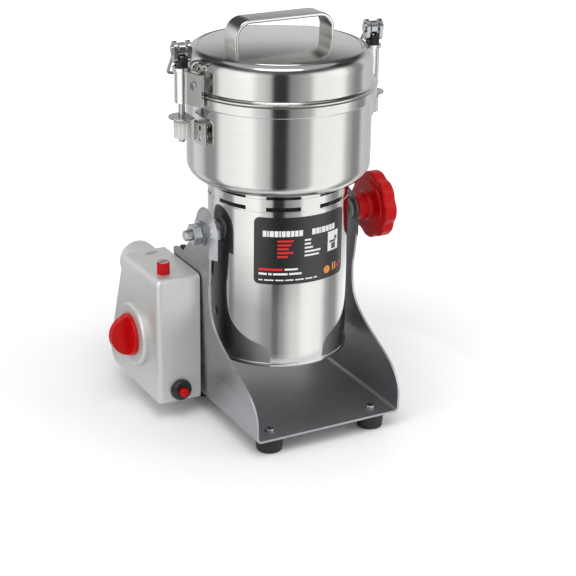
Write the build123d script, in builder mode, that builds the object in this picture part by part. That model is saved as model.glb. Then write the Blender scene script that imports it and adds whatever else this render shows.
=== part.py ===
"""Swing-type electric grain mill: tilting motor and bowl in a bent sheet stand, with a control box."""

import os
from math import cos, radians, sin

from build123d import *

# ---- Driving dimensions (millimetres) ----

# Place of the motor's axis in the frame, whose origin is the middle of the footprint.
AXIS_X = 17.25
AXIS_Y = -8.05

# The sizes that the rest of the mill hangs from
HOUSING_RADIUS = 63.4
HOUSING_BOTTOM = 62.5
BOWL_RADIUS = 82.0
BOWL_BOTTOM = 226.0
BOWL_DEPTH = 83.0
BOWL_TOP = BOWL_BOTTOM + BOWL_DEPTH
STAND_HALF = HOUSING_RADIUS + 9.3
ARM_HALF_AT_PIVOT = STAND_HALF + 3.8
PIVOT_HEIGHT = 180.0

# Clearances
RUNNING = 0.05  # radial play of a shaft in its hole
FIT = 0.3  # room between neighbours that don't bear on each other
SEAT = 0.1  # room at a face that carries its neighbour
THROUGH = 200.0  # length of a cut that goes right through

# Feet
FOOT_HEIGHT = 16.0
FOOT_RADIUS = 13.0
FOOT_FRONT = (STAND_HALF - 20.7, -86.0)
FOOT_REAR = (STAND_HALF - 18.7, 44.0)
FOOT_SCREW_RADIUS = 2.4
FOOT_SCREW_HEAD = 4.6
FOOT_SCREW_HEAD_HEIGHT = 2.5
FOOT_SCREW_DEPTH = 11.0
FOOT_SCREW_SLOT = (1.0, 1.2)  # width and depth of the cross in its head
FOOT_TAPER = -5.0  # degrees

# Stand
SHEET = 2.0
STAND_BEND = 5.0
STAND_FRONT = -102.5
STAND_BACK = 62.0
EAR_DISC_RADIUS = 15.0
EAR_RIM_RADIUS = 22.7
EAR_DEPTH = 5.2
EAR_SKIRT = 20.0

# The arm's side view, as (y, z): its curved front edge from the base up to the ear, its stepped
# back edge from the ear down, and the round corner behind
ARM_FRONT_HEIGHT = 32.0
ARM_FRONT_CURVE = [(-96, 49.5), (-62, 70), (-29, 87), (-12.5, 110), (-11, 134)]
ARM_BACK_STEPS = [(EAR_DISC_RADIUS, 168), (26, 164), (41, 149), (54, 148.5)]
ARM_BACK_CORNER = [(62.5, 145), (65.5, 136)]

# Pivot
PIVOT_STUD_RADIUS = 5.0
BUSH_WALL = 2.0
BUSH_FLANGE_RADIUS = 10.0
BUSH_FLANGE = 1.5
WASHER_RADIUS = 11.0
WASHER_THICKNESS = 2.0
PIVOT_NUT_ACROSS = 17.0
PIVOT_NUT_THICKNESS = 8.0
PIVOT_STUD_END = ARM_HALF_AT_PIVOT + 17
PIVOT_BOSS_RADIUS = 11.0

# Lock knob
KNOB_RADIUS = 32.0
KNOB_THICKNESS = 14.0
KNOB_OUTER_FACE = ARM_HALF_AT_PIVOT + 32.5
KNOB_HUB_RADIUS = 12.0
KNOB_FLUTES = 8
KNOB_FLUTE_RADIUS = 9.0
KNOB_FLUTE_DEPTH = 3.2

# Motor housing
HOUSING_WALL = 1.2
HOUSING_TOP = BOWL_BOTTOM - 16.7
HOUSING_BEAD = 0.8
HOUSING_BEAD_HEIGHT = 3.5

# Label plate: a bare curved plate on the housing
LABEL_FROM = -137.0
LABEL_TO = -54.5
LABEL_BOTTOM = HOUSING_TOP - 66.5
LABEL_HEIGHT = 62.0
LABEL_THICKNESS = 0.4
LABEL_CORNER = 5.0

# Vent collar
COLLAR_WALL = 1.8
COLLAR_SLOTS = 8
COLLAR_SLOT_ANGLE = 28.0
COLLAR_SLOT_FIRST = -68.5
COLLAR_SLOT_HEIGHT = 4.0
COLLAR_BAND_HEIGHT = 7.0
COLLAR_BAND_PROUD = 0.6

# Motor inside
CAP_THICKNESS = 3.0
CAP_INSET = 1.5
CAP_VENTS = 20
CAP_VENT_WIDTH = 4.5
STATOR_RADIUS = HOUSING_RADIUS - 7.4
STATOR_BORE = STATOR_RADIUS - 28.4
STATOR_BOTTOM = HOUSING_BOTTOM + 49.5
STATOR_LENGTH = HOUSING_TOP - HOUSING_BOTTOM - 96.8
COIL_WINDOW = (10.0, 34.0)  # the two slots that the coils pass through
COIL_WINDOW_PLACE = STATOR_RADIUS - 18
WINDING_LENGTH = 13.0
WINDING_RADIUS = STATOR_RADIUS - 12
ROTOR_AIR_GAP = 0.6
ROTOR_SLOTS = 12
ROTOR_SLOT_RADIUS = 2.6
ROTOR_SLOT_INSET = 4.0
ROTOR_SLOT_MOUTH = (6.0, 1.6)
COMMUTATOR_RADIUS = 13.0
COMMUTATOR_BOTTOM = HOUSING_BOTTOM + 17.5
COMMUTATOR_LENGTH = 16.0
COMMUTATOR_GAP = (3.0, 0.5)  # depth across the rim and width
FAN_RADIUS = HOUSING_RADIUS - 16.4
FAN_HEIGHT = 11.0
FAN_BLADES = 9
FAN_DISC = 2.0
FAN_HUB_RADIUS = 12.0
FAN_VANE_THICKNESS = 1.6
FAN_VANE_TURN = 18.0  # degrees
BRUSH_WIDTH = 7.0
BRUSH_HOLDER_WALL = 1.6
BRUSH_HOLDER_END = STATOR_RADIUS - 14
BRUSH_LENGTH = 16.0
BRUSH_POST = (8.0, 14.0)
BRUSH_POST_PLACE = 30.0
LOWER_BEARING = (11.0, 4.0, 7.0)  # outer radius, bore radius, width
UPPER_BEARING = (16.0, 6.0, 10.0)
END_PLATE_THICKNESS = 5.0
END_PLATE_WINDOW = (26.0, 12.0)
BOWL_PILLAR_RADIUS = 6.0
STATOR_PILLAR_RADIUS = 4.0
STATOR_PILLAR_CIRCLE = STATOR_RADIUS - 6

# Bowl
BOWL_WALL = 1.5
BOWL_CORNER = 14.0
BOWL_RIM_RADIUS = BOWL_RADIUS + 3.7
BOWL_RIM_HEIGHT = 9.5
BOWL_SCREW_CIRCLE = HOUSING_RADIUS - 21.4
BOWL_SCREW_RADIUS = 2.5
BOWL_SCREW_HEAD_HEIGHT = 2.6
SEAL_RADIUS = 11.0
SEAL_LIP = (3.0, 2.0)  # width and height

# Lid
LID_GAP = 1.2
LID_FLANGE_RADIUS = BOWL_RADIUS + 4.6
LID_SHOULDER_HEIGHT = BOWL_TOP + 22
LID_CREASE_RADIUS = BOWL_RADIUS - 9
LID_CREASE_HEIGHT = BOWL_TOP + 33.8
LID_CROWN = BOWL_TOP + 36.6
LID_CREASE_DEPTH = 1.0
GASKET_LIP = 2.2
GASKET_WIDTH = 3.5
GASKET_SKIRT = 6.0

# Lid handle
HANDLE_SPAN = 97.0
HANDLE_WIDTH = 22.0
HANDLE_THICKNESS = 3.6
HANDLE_TOP = BOWL_TOP + 60.5
HANDLE_BEND = 15.0

# Blades
BLADE_SPAN = BOWL_RADIUS - 9
BLADE_THICKNESS = 1.8
BLADE_HUB = 11.0
BLADE_SWEEP = 16.0  # how far a tip trails behind its arm's middle
UPPER_BLADE_SPAN = 52.0
UPPER_BLADE_SWEEP = 9.0
BLADE_THREAD_RADIUS = 4.0
LOWER_BLADE_HEIGHT = BOWL_BOTTOM + 11
BLADE_SPACER = 9.0
BLADE_SPACER_RADIUS = 9.0
BLADE_NUT_ACROSS = 13.0
BLADE_NUT_THICKNESS = 7.0

# Lid clamps, both sides alike
CLAMP_CENTRE = BOWL_RADIUS + 12.2
SLEEVE_RADIUS = 6.5
SLEEVE_BOTTOM = BOWL_TOP - 7
SLEEVE_TOP = BOWL_TOP + 21
TAB_THICKNESS = 3.2
TAB_END_RADIUS = BOWL_RADIUS + 7.0
TAB_END_ANGLE = 15.5  # degrees round the lid from the rod to the tab's end
CLAMP_SCREW_HEIGHT = BOWL_TOP + 10.5
CLAMP_SCREW_PLACE = 16.0  # from the rod, along the tab
CLAMP_SCREW_RADIUS = 2.0
CLAMP_SCREW_HEAD = 3.9
CLAMP_SCREW_GRIP = 3.0  # how far the screw goes into the lug
CLAMP_SCREW_HEAD_HEIGHT = 1.8
CLAMP_SCREW_SLOT = (4.4, 0.9)  # length and width of the cross, as deep as wide
CLAMP_SCREW_SLOT_TURN = 40.0  # degrees
LUG_HALF = 4.0
LUG_HEIGHT = 6.0
LUG_LENGTH = 16.0  # reaches past the lid's wall, which trims it
EYE_ANGLE = 7.5  # degrees round the lid from the rod to the keeper eye
EYE_RADIUS = 3.8
EYE_HOLE = 1.8
EYE_HALF = 1.5
EYE_PLACE = (BOWL_RADIUS + 3.2, BOWL_TOP + 24.5)
COLLAR_RADIUS = 8.0
COLLAR_HEIGHT = 3.2
SADDLE_HEIGHT = 7.5
ROD_RADIUS = 3.0
ROD_END = BOWL_TOP - 42
ROD_EYE_HEIGHT = BOWL_TOP + 39
ROD_EYE_RADIUS = 6.0
ROD_EYE_HALF = 2.6
DISC_RADIUS = 11.8
DISC_TOP = BOWL_TOP - 19
DISC_THICKNESS = 1.5
DISC_FLAT = CLAMP_CENTRE - BOWL_RIM_RADIUS - 2 * FIT  # from the rod to the flat beside the rim
CLAMP_NUT_TOP = BOWL_TOP - 22.5
CLAMP_NUT_BOTTOM = BOWL_TOP - 38
CLAMP_NUT_RADIUS = 7.4
CLAMP_NUT_GROOVES = 12
CLAMP_NUT_GROOVE = 1.2
CLAMP_NUT_NECK = CLAMP_NUT_RADIUS - CLAMP_NUT_GROOVE
CHEEK_RADIUS = 7.6
CHEEK_LOBE = 4.6
CHEEK_LOBE_RADIUS = 6.6
CHEEK_THICKNESS = 3.0
CHEEK_INNER = 4.4
LEVER_PIN_RADIUS = 2.5
LEVER_PIN_HEAD = 4.4
LEVER_PIN_HEAD_HEIGHT = 1.4
LEVER_WIRE_RADIUS = 1.4
LEVER_WIRE_LENGTH = 41.0
LEVER_WIRE_BEND = 4.5
LEVER_DROP = 43.0  # degrees below level, towards the back
LEFT_CLAMP_TURN = -12.0  # degrees the left lever is turned about its rod
RIGHT_CLAMP_TURN = -14.0

# Bowl brackets
BRACKET_WIDTH = 17.0
BRACKET_ANGLE = 10.5  # degrees round the bowl from the rod
BRACKET_SHEET = 1.5
BRACKET_FACE = BOWL_RADIUS + 4.5
BRACKET_BOTTOM = BOWL_TOP - 41.5
BRACKET_BEND = BOWL_TOP - 23
BRACKET_ROOT = BOWL_TOP - 18
BRACKET_HOLE = 2.2
BRACKET_HOLE_HEIGHTS = (BRACKET_BOTTOM + 5.5, BRACKET_BOTTOM + 15)

# Control box
BOX_INNER = -STAND_HALF - 4
BOX_OUTER = BOX_INNER - 42.3
BOX_WALL = 3.0
BOX_FRONT = 3.5
BOX_BOTTOM = 16.2
BOX_TOP = 139.5
BOX_TOP_BACK = 82.5
BOX_BOTTOM_BACK = 126.0
BOX_EDGE = 5.0
BOX_BACK_CORNER = 18.0
BOX_CORNER = 5.0
COVER_SHEET = 1.5
BOX_SCREW_PLACES = [(15.0, 50.0), (15.0, 96.0), (57.0, 108.0), (52.0, 30.0)]
BOX_BOSS_RADIUS = 4.5
BOX_SCREW_RADIUS = 2.0
BOX_SCREW_HEAD = 3.8
BOX_SCREW_HEAD_HEIGHT = 2.2
BOX_SCREW_DEPTH = 12.0

# Cord entry on the box's back, and the lead through the arm
ENTRY_RADIUS = 18.0
ENTRY_CENTRE = (BOX_OUTER + 24.4, 123.0)
ENTRY_END = 105.0
GLAND_RADIUS = 7.0
GLAND_FLANGE = 9.5
GLAND_BORE = 4.0
GROMMET_PLACE = (46.0, 126.0)
GROMMET_RADIUS = 6.0
GROMMET_FLANGE_RADIUS = 12.0
GROMMET_FLANGE_LENGTH = 32.0
GROMMET_FLANGE = 3.0
GROMMET_RISE = 10.0  # the flange's middle above the hole
GROMMET_WALL = 2.5

# Timer
TIMER_PLACE = (52.5, 71.0)
TIMER_BOSS_RADIUS = 30.0
TIMER_BOSS_HEIGHT = 6.0
TIMER_SHAFT_RADIUS = 3.0
TIMER_BUSH_RADIUS = 5.0
TIMER_BLOCK = (40.0, 40.0, 22.0)
TIMER_KNOB_RADIUS = 20.0
TIMER_KNOB_DISC = 3.2
TIMER_FIN = 7.0
TIMER_SHAFT_IN_KNOB = 6.0
TIMER_SHAFT_IN_UNIT = 14.0

# Fuse
FUSE_PLACE = (BOX_OUTER + 14, 20.0)
FUSE_CAP_RADIUS = 5.8
FUSE_CAP_HEIGHT = 11.2
FUSE_NECK_RADIUS = 4.3
FUSE_BODY_RADIUS = 6.4
FUSE_BODY_LENGTH = 30.0
FUSE_BORE = 2.8
FUSE_CAP_GROOVES = 18
FUSE_CAP_GROOVE = 0.7
FUSE_CAP_SLOT = (1.4, 1.5)  # width and depth
FUSE_CAP_SLOT_TURN = 20.0  # degrees

# Overload protector
OVERLOAD_PLACE = (BOX_OUTER + 22, 29.5)
OVERLOAD_DOME_RADIUS = 10.0
OVERLOAD_DOME = 5.5
OVERLOAD_NECK = 6.8
OVERLOAD_BODY_LENGTH = 22.0
BUTTON_RADIUS = 3.9
BUTTON_PROUD = 5.5
BUTTON_TRAVEL = 2.5

# ---- Planes of the model ----

SPIN_AXIS = Axis((AXIS_X, AXIS_Y, 0), (0, 0, 1))
os.makedirs("parts", exist_ok=True)


def level(height):
    """A level plane at a height, centred on the motor's axis."""
    return Plane((AXIS_X, AXIS_Y, height))


def across(x):
    """An upright plane facing +X at a distance from the axis; its own x is Y and its own y is Z."""
    return Plane(origin=(AXIS_X + x, AXIS_Y, 0), x_dir=(0, 1, 0), z_dir=(1, 0, 0))


def facing(y):
    """An upright plane facing the front (-Y); its own x is X and its own y is Z."""
    return Plane(origin=(AXIS_X, AXIS_Y + y, 0), x_dir=(1, 0, 0), z_dir=(0, -1, 0))


def outline(plane, points):
    """A closed face with straight sides."""
    with BuildSketch(plane) as shape:
        with BuildLine():
            Polyline(*points, close=True)
        make_face()
    return shape.sketch


def turned(points, mode=Mode.ADD):
    """A solid of revolution about the motor's axis from (radius, height) points."""
    revolve(outline(facing(0), points), axis=SPIN_AXIS, mode=mode)


def disc(plane, place, radius, length, mode=Mode.ADD):
    """A cylinder from a plane, along its normal."""
    with BuildSketch(plane) as shape:
        with Locations(place):
            Circle(radius)
    extrude(shape.sketch, amount=length, mode=mode)


def ring_points(inner, outer, bottom, top):
    """The (radius, height) corners of a plain ring."""
    return [(inner, bottom), (outer, bottom), (outer, top), (inner, top)]


def finish(builder, label, turn=0):
    """Turns a finished piece about the motor's axis, names it and writes it."""
    piece = builder.part.rotate(SPIN_AXIS, turn) if turn else builder.part
    piece.label = label
    export_step(piece, f"parts/{label}.step")


def arm_half(height):
    """Half the width over the arms, which lean outwards."""
    lean = (ARM_HALF_AT_PIVOT - STAND_HALF) / (PIVOT_HEIGHT - FOOT_HEIGHT)
    return STAND_HALF + lean * (height - FOOT_HEIGHT)


# ---- Stand ----

FEET = [
    (side * x, y) for x, y in (FOOT_FRONT, FOOT_REAR) for side in (-1, 1)
]
BASE_TOP = FOOT_HEIGHT + SHEET
EAR_TOP = PIVOT_HEIGHT + EAR_RIM_RADIUS
EAR_FACE = ARM_HALF_AT_PIVOT + 0.2
EAR_INNER = EAR_FACE - SHEET
EAR_RIM = EAR_FACE - EAR_DEPTH
BUSH_RADIUS = PIVOT_STUD_RADIUS + BUSH_WALL
BUSH_FACE = arm_half(PIVOT_HEIGHT - BUSH_FLANGE_RADIUS) - SHEET - SEAT


def ear_half_section(side):
    """The flank of an ear: its disc turns into a sloping rim. Points are (x, radius)."""
    rim_wall = SHEET * 1.15
    return [
        (side * EAR_FACE, EAR_DISC_RADIUS),
        (side * EAR_RIM, EAR_RIM_RADIUS),
        (side * EAR_RIM, EAR_RIM_RADIUS - rim_wall),
        (side * EAR_INNER, EAR_DISC_RADIUS - 1.0),
    ]


with BuildPart() as stand_frame:
    # The sheet bent into a U, as long as the base.
    with BuildSketch(facing(STAND_BACK)):
        with BuildLine():
            outer_line = Polyline(
                (-arm_half(EAR_TOP), EAR_TOP),
                (-STAND_HALF, FOOT_HEIGHT),
                (STAND_HALF, FOOT_HEIGHT),
                (arm_half(EAR_TOP), EAR_TOP),
            )
            fillet(outer_line.vertices().group_by(Axis.Y)[0], STAND_BEND)
            offset(amount=-SHEET, side=Side.LEFT, closed=True)
        make_face()
    extrude(amount=STAND_BACK - STAND_FRONT + 4)
    # The side view that the sheet was cut to.
    with BuildSketch(across(-arm_half(EAR_TOP) - 1)):
        with BuildLine():
            Line((STAND_BACK, FOOT_HEIGHT), (STAND_FRONT, FOOT_HEIGHT))
            Line((STAND_FRONT, FOOT_HEIGHT), (STAND_FRONT, ARM_FRONT_HEIGHT))
            Spline(
                (STAND_FRONT, ARM_FRONT_HEIGHT),
                *ARM_FRONT_CURVE,
                (-EAR_DISC_RADIUS, PIVOT_HEIGHT - EAR_SKIRT),
                tangents=[(0, 1), (-0.1, 1)],
            )
            Polyline(
                (-EAR_DISC_RADIUS, PIVOT_HEIGHT - EAR_SKIRT),
                (-EAR_DISC_RADIUS, PIVOT_HEIGHT),
                (EAR_DISC_RADIUS, PIVOT_HEIGHT),
                *ARM_BACK_STEPS,
            )
            ThreePointArc(ARM_BACK_STEPS[-1], *ARM_BACK_CORNER)
            Line(ARM_BACK_CORNER[-1], (STAND_BACK, FOOT_HEIGHT))
        make_face()
    extrude(amount=2 * arm_half(EAR_TOP) + 2, mode=Mode.INTERSECT)
    # The ears: a dished disc at the pivot, open below.
    for side in (-1, 1):
        section = ear_half_section(side)
        lifted = [(x, PIVOT_HEIGHT + r) for x, r in section]
        hub = [
            (side * EAR_FACE, PIVOT_HEIGHT),
            (side * EAR_FACE, PIVOT_HEIGHT + EAR_DISC_RADIUS),
            (side * EAR_INNER, PIVOT_HEIGHT + EAR_DISC_RADIUS - 1.0),
            (side * EAR_INNER, PIVOT_HEIGHT),
        ]
        ear_axis = Axis((AXIS_X, AXIS_Y, PIVOT_HEIGHT), (1, 0, 0))
        for shape in (lifted, hub):
            revolve(outline(facing(0), shape), axis=ear_axis, revolution_arc=90)
            revolve(outline(facing(0), shape), axis=ear_axis, revolution_arc=-90)
        for flank in (-1, 1):
            skirt = [(x, flank * r) for x, r in section]
            extrude(outline(level(PIVOT_HEIGHT), skirt), amount=-EAR_SKIRT)
    # Holes for the pivot, the feet, the box's screws and the lead.
    pivot = (0, PIVOT_HEIGHT)
    disc(across(-THROUGH / 2), pivot, BUSH_RADIUS + RUNNING, THROUGH, Mode.SUBTRACT)
    for place in FEET:
        disc(level(FOOT_HEIGHT), place, FOOT_SCREW_RADIUS + FIT, SHEET, Mode.SUBTRACT)
    for place in BOX_SCREW_PLACES:
        disc(across(-THROUGH / 2), place, BOX_SCREW_RADIUS + FIT, THROUGH / 2, Mode.SUBTRACT)
    disc(across(-THROUGH / 2), GROMMET_PLACE, GROMMET_RADIUS + SEAT, THROUGH / 2, Mode.SUBTRACT)
finish(stand_frame, "stand_frame")

with BuildPart() as rubber_feet:
    for place in FEET:
        with BuildSketch(level(0)) as sole:
            with Locations(place):
                Circle(FOOT_RADIUS - 1.5)
        extrude(sole.sketch, amount=FOOT_HEIGHT - SEAT, taper=FOOT_TAPER)
    chamfer(rubber_feet.faces().group_by(Axis.Z)[0].edges(), 1)
    for place in FEET:
        bore_depth = FOOT_SCREW_DEPTH + FIT
        disc(level(FOOT_HEIGHT), place, FOOT_SCREW_RADIUS + RUNNING, -bore_depth, Mode.SUBTRACT)
finish(rubber_feet, "rubber_feet")

with BuildPart() as foot_screws:
    for place in FEET:
        disc(level(BASE_TOP), place, FOOT_SCREW_HEAD, FOOT_SCREW_HEAD_HEIGHT)
        disc(level(BASE_TOP), place, FOOT_SCREW_RADIUS, -SHEET - FOOT_SCREW_DEPTH)
    slot_width, slot_depth = FOOT_SCREW_SLOT
    head_tops = foot_screws.faces().group_by(Axis.Z)[-1]
    fillet(head_tops.edges(), FOOT_SCREW_HEAD_HEIGHT * 0.45)
    for place in FEET:
        with BuildSketch(level(BASE_TOP + FOOT_SCREW_HEAD_HEIGHT)) as cross:
            with Locations(place):
                Rectangle(FOOT_SCREW_HEAD, slot_width)
                Rectangle(slot_width, FOOT_SCREW_HEAD)
        extrude(cross.sketch, amount=-slot_depth, mode=Mode.SUBTRACT)
finish(foot_screws, "foot_screws")

with BuildPart() as pivot_bushes:
    for side in (-1, 1):
        flange_face = side * BUSH_FACE
        for radius, length in (
            (BUSH_FLANGE_RADIUS, -side * BUSH_FLANGE),
            (BUSH_RADIUS, side * (EAR_FACE - BUSH_FACE)),
        ):
            disc(across(flange_face), (0, PIVOT_HEIGHT), radius, length)
    disc(across(-THROUGH / 2), pivot, PIVOT_STUD_RADIUS + RUNNING, THROUGH, Mode.SUBTRACT)
finish(pivot_bushes, "pivot_bushes")

# ---- Pivot ----

WASHER_OUTER = EAR_FACE + SEAT + WASHER_THICKNESS
BOSS_END = BUSH_FACE - BUSH_FLANGE - SEAT

with BuildPart() as stud_washers:
    for side in (-1, 1):
        washer_plane = across(side * (EAR_FACE + SEAT))
        disc(washer_plane, pivot, WASHER_RADIUS, side * WASHER_THICKNESS)
    disc(across(-THROUGH / 2), pivot, PIVOT_STUD_RADIUS + RUNNING, THROUGH, Mode.SUBTRACT)
finish(stud_washers, "stud_washers")

with BuildPart() as stud_nut:
    with BuildSketch(across(-WASHER_OUTER - SEAT)):
        with Locations((0, PIVOT_HEIGHT)):
            RegularPolygon(PIVOT_NUT_ACROSS / 2, 6, major_radius=False)
            Circle(PIVOT_STUD_RADIUS + RUNNING, mode=Mode.SUBTRACT)
    extrude(amount=-PIVOT_NUT_THICKNESS)
finish(stud_nut, "stud_nut")

with BuildPart() as pivot_stud:
    disc(
        across(-PIVOT_STUD_END),
        (0, PIVOT_HEIGHT),
        PIVOT_STUD_RADIUS,
        PIVOT_STUD_END - HOUSING_RADIUS - 1,
    )
    chamfer(pivot_stud.edges().group_by(Axis.X)[0], 1.2)
finish(pivot_stud, "pivot_stud")

KNOB_INNER_FACE = KNOB_OUTER_FACE - KNOB_THICKNESS
LOCK_STUD_END = KNOB_OUTER_FACE - 5

with BuildPart() as lock_knob:
    with BuildSketch(across(KNOB_INNER_FACE)) as lobes:
        with Locations((0, PIVOT_HEIGHT)):
            Circle(KNOB_RADIUS)
            with PolarLocations(KNOB_RADIUS + KNOB_FLUTE_RADIUS - KNOB_FLUTE_DEPTH, KNOB_FLUTES):
                Circle(KNOB_FLUTE_RADIUS, mode=Mode.SUBTRACT)
        fillet(lobes.vertices(), KNOB_FLUTE_DEPTH)
    extrude(amount=KNOB_THICKNESS)
    fillet(lock_knob.faces().sort_by(Axis.X)[-1].edges(), 3)
    fillet(lock_knob.faces().sort_by(Axis.X)[0].edges(), 1.5)
    hub_length = KNOB_INNER_FACE - WASHER_OUTER - SEAT
    disc(across(KNOB_INNER_FACE), (0, PIVOT_HEIGHT), KNOB_HUB_RADIUS, -hub_length)
    stud_hole = PIVOT_STUD_RADIUS + RUNNING
    disc(across(LOCK_STUD_END + SEAT), (0, PIVOT_HEIGHT), stud_hole, -KNOB_RADIUS, Mode.SUBTRACT)
finish(lock_knob, "lock_knob")

with BuildPart() as lock_stud:
    disc(
        across(HOUSING_RADIUS + 1),
        (0, PIVOT_HEIGHT),
        PIVOT_STUD_RADIUS,
        LOCK_STUD_END - HOUSING_RADIUS - 1,
    )
    chamfer(lock_stud.edges().group_by(Axis.X)[0], 1.2)
finish(lock_stud, "lock_stud")

# ---- Motor housing, label and vent collar ----

with BuildPart() as motor_housing:
    inner = HOUSING_RADIUS - HOUSING_WALL
    bead_top = HOUSING_BOTTOM + HOUSING_BEAD_HEIGHT
    turned(
        [
            (inner, HOUSING_BOTTOM),
            (HOUSING_RADIUS + HOUSING_BEAD, HOUSING_BOTTOM),
            (HOUSING_RADIUS + HOUSING_BEAD, bead_top),
            (HOUSING_RADIUS, bead_top + HOUSING_BEAD),
            (HOUSING_RADIUS, HOUSING_TOP),
            (inner, HOUSING_TOP),
        ]
    )
    # Welded bosses that carry the motor in the ears, threaded for the studs.
    for side in (-1, 1):
        boss_length = BOSS_END - inner + 2
        disc(across(side * BOSS_END), (0, PIVOT_HEIGHT), PIVOT_BOSS_RADIUS, -side * boss_length)
    for side in (-1, 1):
        disc(
            across(side * BOSS_END),
            (0, PIVOT_HEIGHT),
            PIVOT_STUD_RADIUS + RUNNING,
            -side * (BOSS_END - HOUSING_RADIUS - 1 + SEAT),
            Mode.SUBTRACT,
        )
finish(motor_housing, "motor_housing")

with BuildPart() as label_plate:
    plate_inner = HOUSING_RADIUS + RUNNING
    plate_outer = plate_inner + LABEL_THICKNESS
    label_top = LABEL_BOTTOM + LABEL_HEIGHT
    section = outline(facing(0), ring_points(plate_inner, plate_outer, LABEL_BOTTOM, label_top))
    turned_section = section.rotate(SPIN_AXIS, LABEL_FROM)
    revolve(turned_section, axis=SPIN_AXIS, revolution_arc=LABEL_TO - LABEL_FROM)
    short_edges = label_plate.edges().filter_by(lambda edge: edge.length < 2 * LABEL_THICKNESS)
    fillet(short_edges, LABEL_CORNER)
finish(label_plate, "label_plate")

COLLAR_BOTTOM = HOUSING_TOP
COLLAR_TOP = BOWL_BOTTOM
COLLAR_INNER = HOUSING_RADIUS - COLLAR_WALL - 0.4
SLOT_PITCH = 360 / COLLAR_SLOTS
LOWER_SLOT = COLLAR_BOTTOM + 0.7
BAND_BOTTOM = LOWER_SLOT + COLLAR_SLOT_HEIGHT
BAND_TOP = BAND_BOTTOM + COLLAR_BAND_HEIGHT
UPPER_SLOT = BAND_TOP

with BuildPart() as vent_collar:
    collar_outer = HOUSING_RADIUS - 0.4
    turned(ring_points(COLLAR_INNER, collar_outer, COLLAR_BOTTOM, COLLAR_TOP))
    turned(ring_points(COLLAR_INNER, collar_outer + COLLAR_BAND_PROUD, BAND_BOTTOM, BAND_TOP))
    # Two rows of vent slots.
    for slot_bottom in (LOWER_SLOT, UPPER_SLOT):
        slot_height = COLLAR_SLOT_HEIGHT
        for count in range(COLLAR_SLOTS):
            first = COLLAR_SLOT_FIRST - COLLAR_SLOT_ANGLE / 2 + count * SLOT_PITCH
            corners = [
                (HOUSING_RADIUS * 1.3 * cos(radians(first + part * COLLAR_SLOT_ANGLE)),
                 HOUSING_RADIUS * 1.3 * sin(radians(first + part * COLLAR_SLOT_ANGLE)))
                for part in (0, 0.5, 1)
            ]
            sector = outline(level(slot_bottom), [(0, 0), *corners])
            extrude(sector, amount=slot_height, mode=Mode.SUBTRACT)
finish(vent_collar, "vent_collar")

# ---- Motor inside ----

CAP_RADIUS = HOUSING_RADIUS - HOUSING_WALL - SEAT
CAP_BOTTOM = HOUSING_BOTTOM + CAP_INSET
CAP_TOP = CAP_BOTTOM + CAP_THICKNESS
LOWER_RADIUS, LOWER_BORE, LOWER_WIDTH = LOWER_BEARING
UPPER_RADIUS, UPPER_BORE, UPPER_WIDTH = UPPER_BEARING
LOWER_SEAT = CAP_TOP + 2
LOWER_SEAT_TOP = LOWER_SEAT + LOWER_WIDTH
HOLDER_HALF = BRUSH_WIDTH / 2 + BRUSH_HOLDER_WALL
BRUSH_HEIGHT = COMMUTATOR_BOTTOM + COMMUTATOR_LENGTH / 2
HOLDER_START = COMMUTATOR_RADIUS + 2

with BuildPart() as bottom_cap:
    turned(ring_points(LOWER_BORE + 2, CAP_RADIUS, CAP_BOTTOM, CAP_TOP))
    turned(ring_points(LOWER_RADIUS + RUNNING, LOWER_RADIUS + 3, CAP_TOP, LOWER_SEAT_TOP))
    turned(ring_points(LOWER_BORE + 2, LOWER_RADIUS + 3, CAP_TOP, LOWER_SEAT))
    with BuildSketch(level(CAP_BOTTOM)) as vents:
        with PolarLocations(CAP_RADIUS * 0.66, CAP_VENTS):
            SlotOverall(CAP_RADIUS * 0.42, CAP_VENT_WIDTH)
    extrude(vents.sketch, amount=CAP_THICKNESS, mode=Mode.SUBTRACT)
    # Posts that carry the brush holders.
    for side in (-1, 1):
        with BuildSketch(level(CAP_TOP)) as post:
            with Locations((0, side * BRUSH_POST_PLACE)):
                Rectangle(*BRUSH_POST)
        extrude(post.sketch, amount=BRUSH_HEIGHT - HOLDER_HALF - CAP_TOP)
        with BuildSketch(level(CAP_BOTTOM)) as foot:
            with Locations((0, side * BRUSH_POST_PLACE)):
                Rectangle(*BRUSH_POST)
        extrude(foot.sketch, amount=CAP_THICKNESS)
finish(bottom_cap, "bottom_cap")

with BuildPart() as brush_holders:
    for side in (-1, 1):
        with BuildSketch(facing(side * HOLDER_START)) as tube:
            with Locations((0, BRUSH_HEIGHT)):
                Rectangle(2 * HOLDER_HALF, 2 * HOLDER_HALF)
                Rectangle(BRUSH_WIDTH + SEAT, BRUSH_WIDTH + SEAT, mode=Mode.SUBTRACT)
        extrude(tube.sketch, amount=-side * (BRUSH_HOLDER_END - HOLDER_START))
finish(brush_holders, "brush_holders")

with BuildPart() as carbon_brushes:
    for side in (-1, 1):
        with BuildSketch(facing(side * (COMMUTATOR_RADIUS + RUNNING))) as block:
            with Locations((0, BRUSH_HEIGHT)):
                Rectangle(BRUSH_WIDTH, BRUSH_WIDTH)
        extrude(block.sketch, amount=-side * BRUSH_LENGTH)
finish(carbon_brushes, "carbon_brushes")

STATOR_TOP = STATOR_BOTTOM + STATOR_LENGTH

with BuildPart() as stator_core:
    with BuildSketch(level(STATOR_BOTTOM)):
        Circle(STATOR_RADIUS)
        Circle(STATOR_BORE, mode=Mode.SUBTRACT)
        with PolarLocations(COIL_WINDOW_PLACE, 2):
            Rectangle(*COIL_WINDOW, mode=Mode.SUBTRACT)
    extrude(amount=STATOR_LENGTH)
finish(stator_core, "stator_core")

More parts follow.
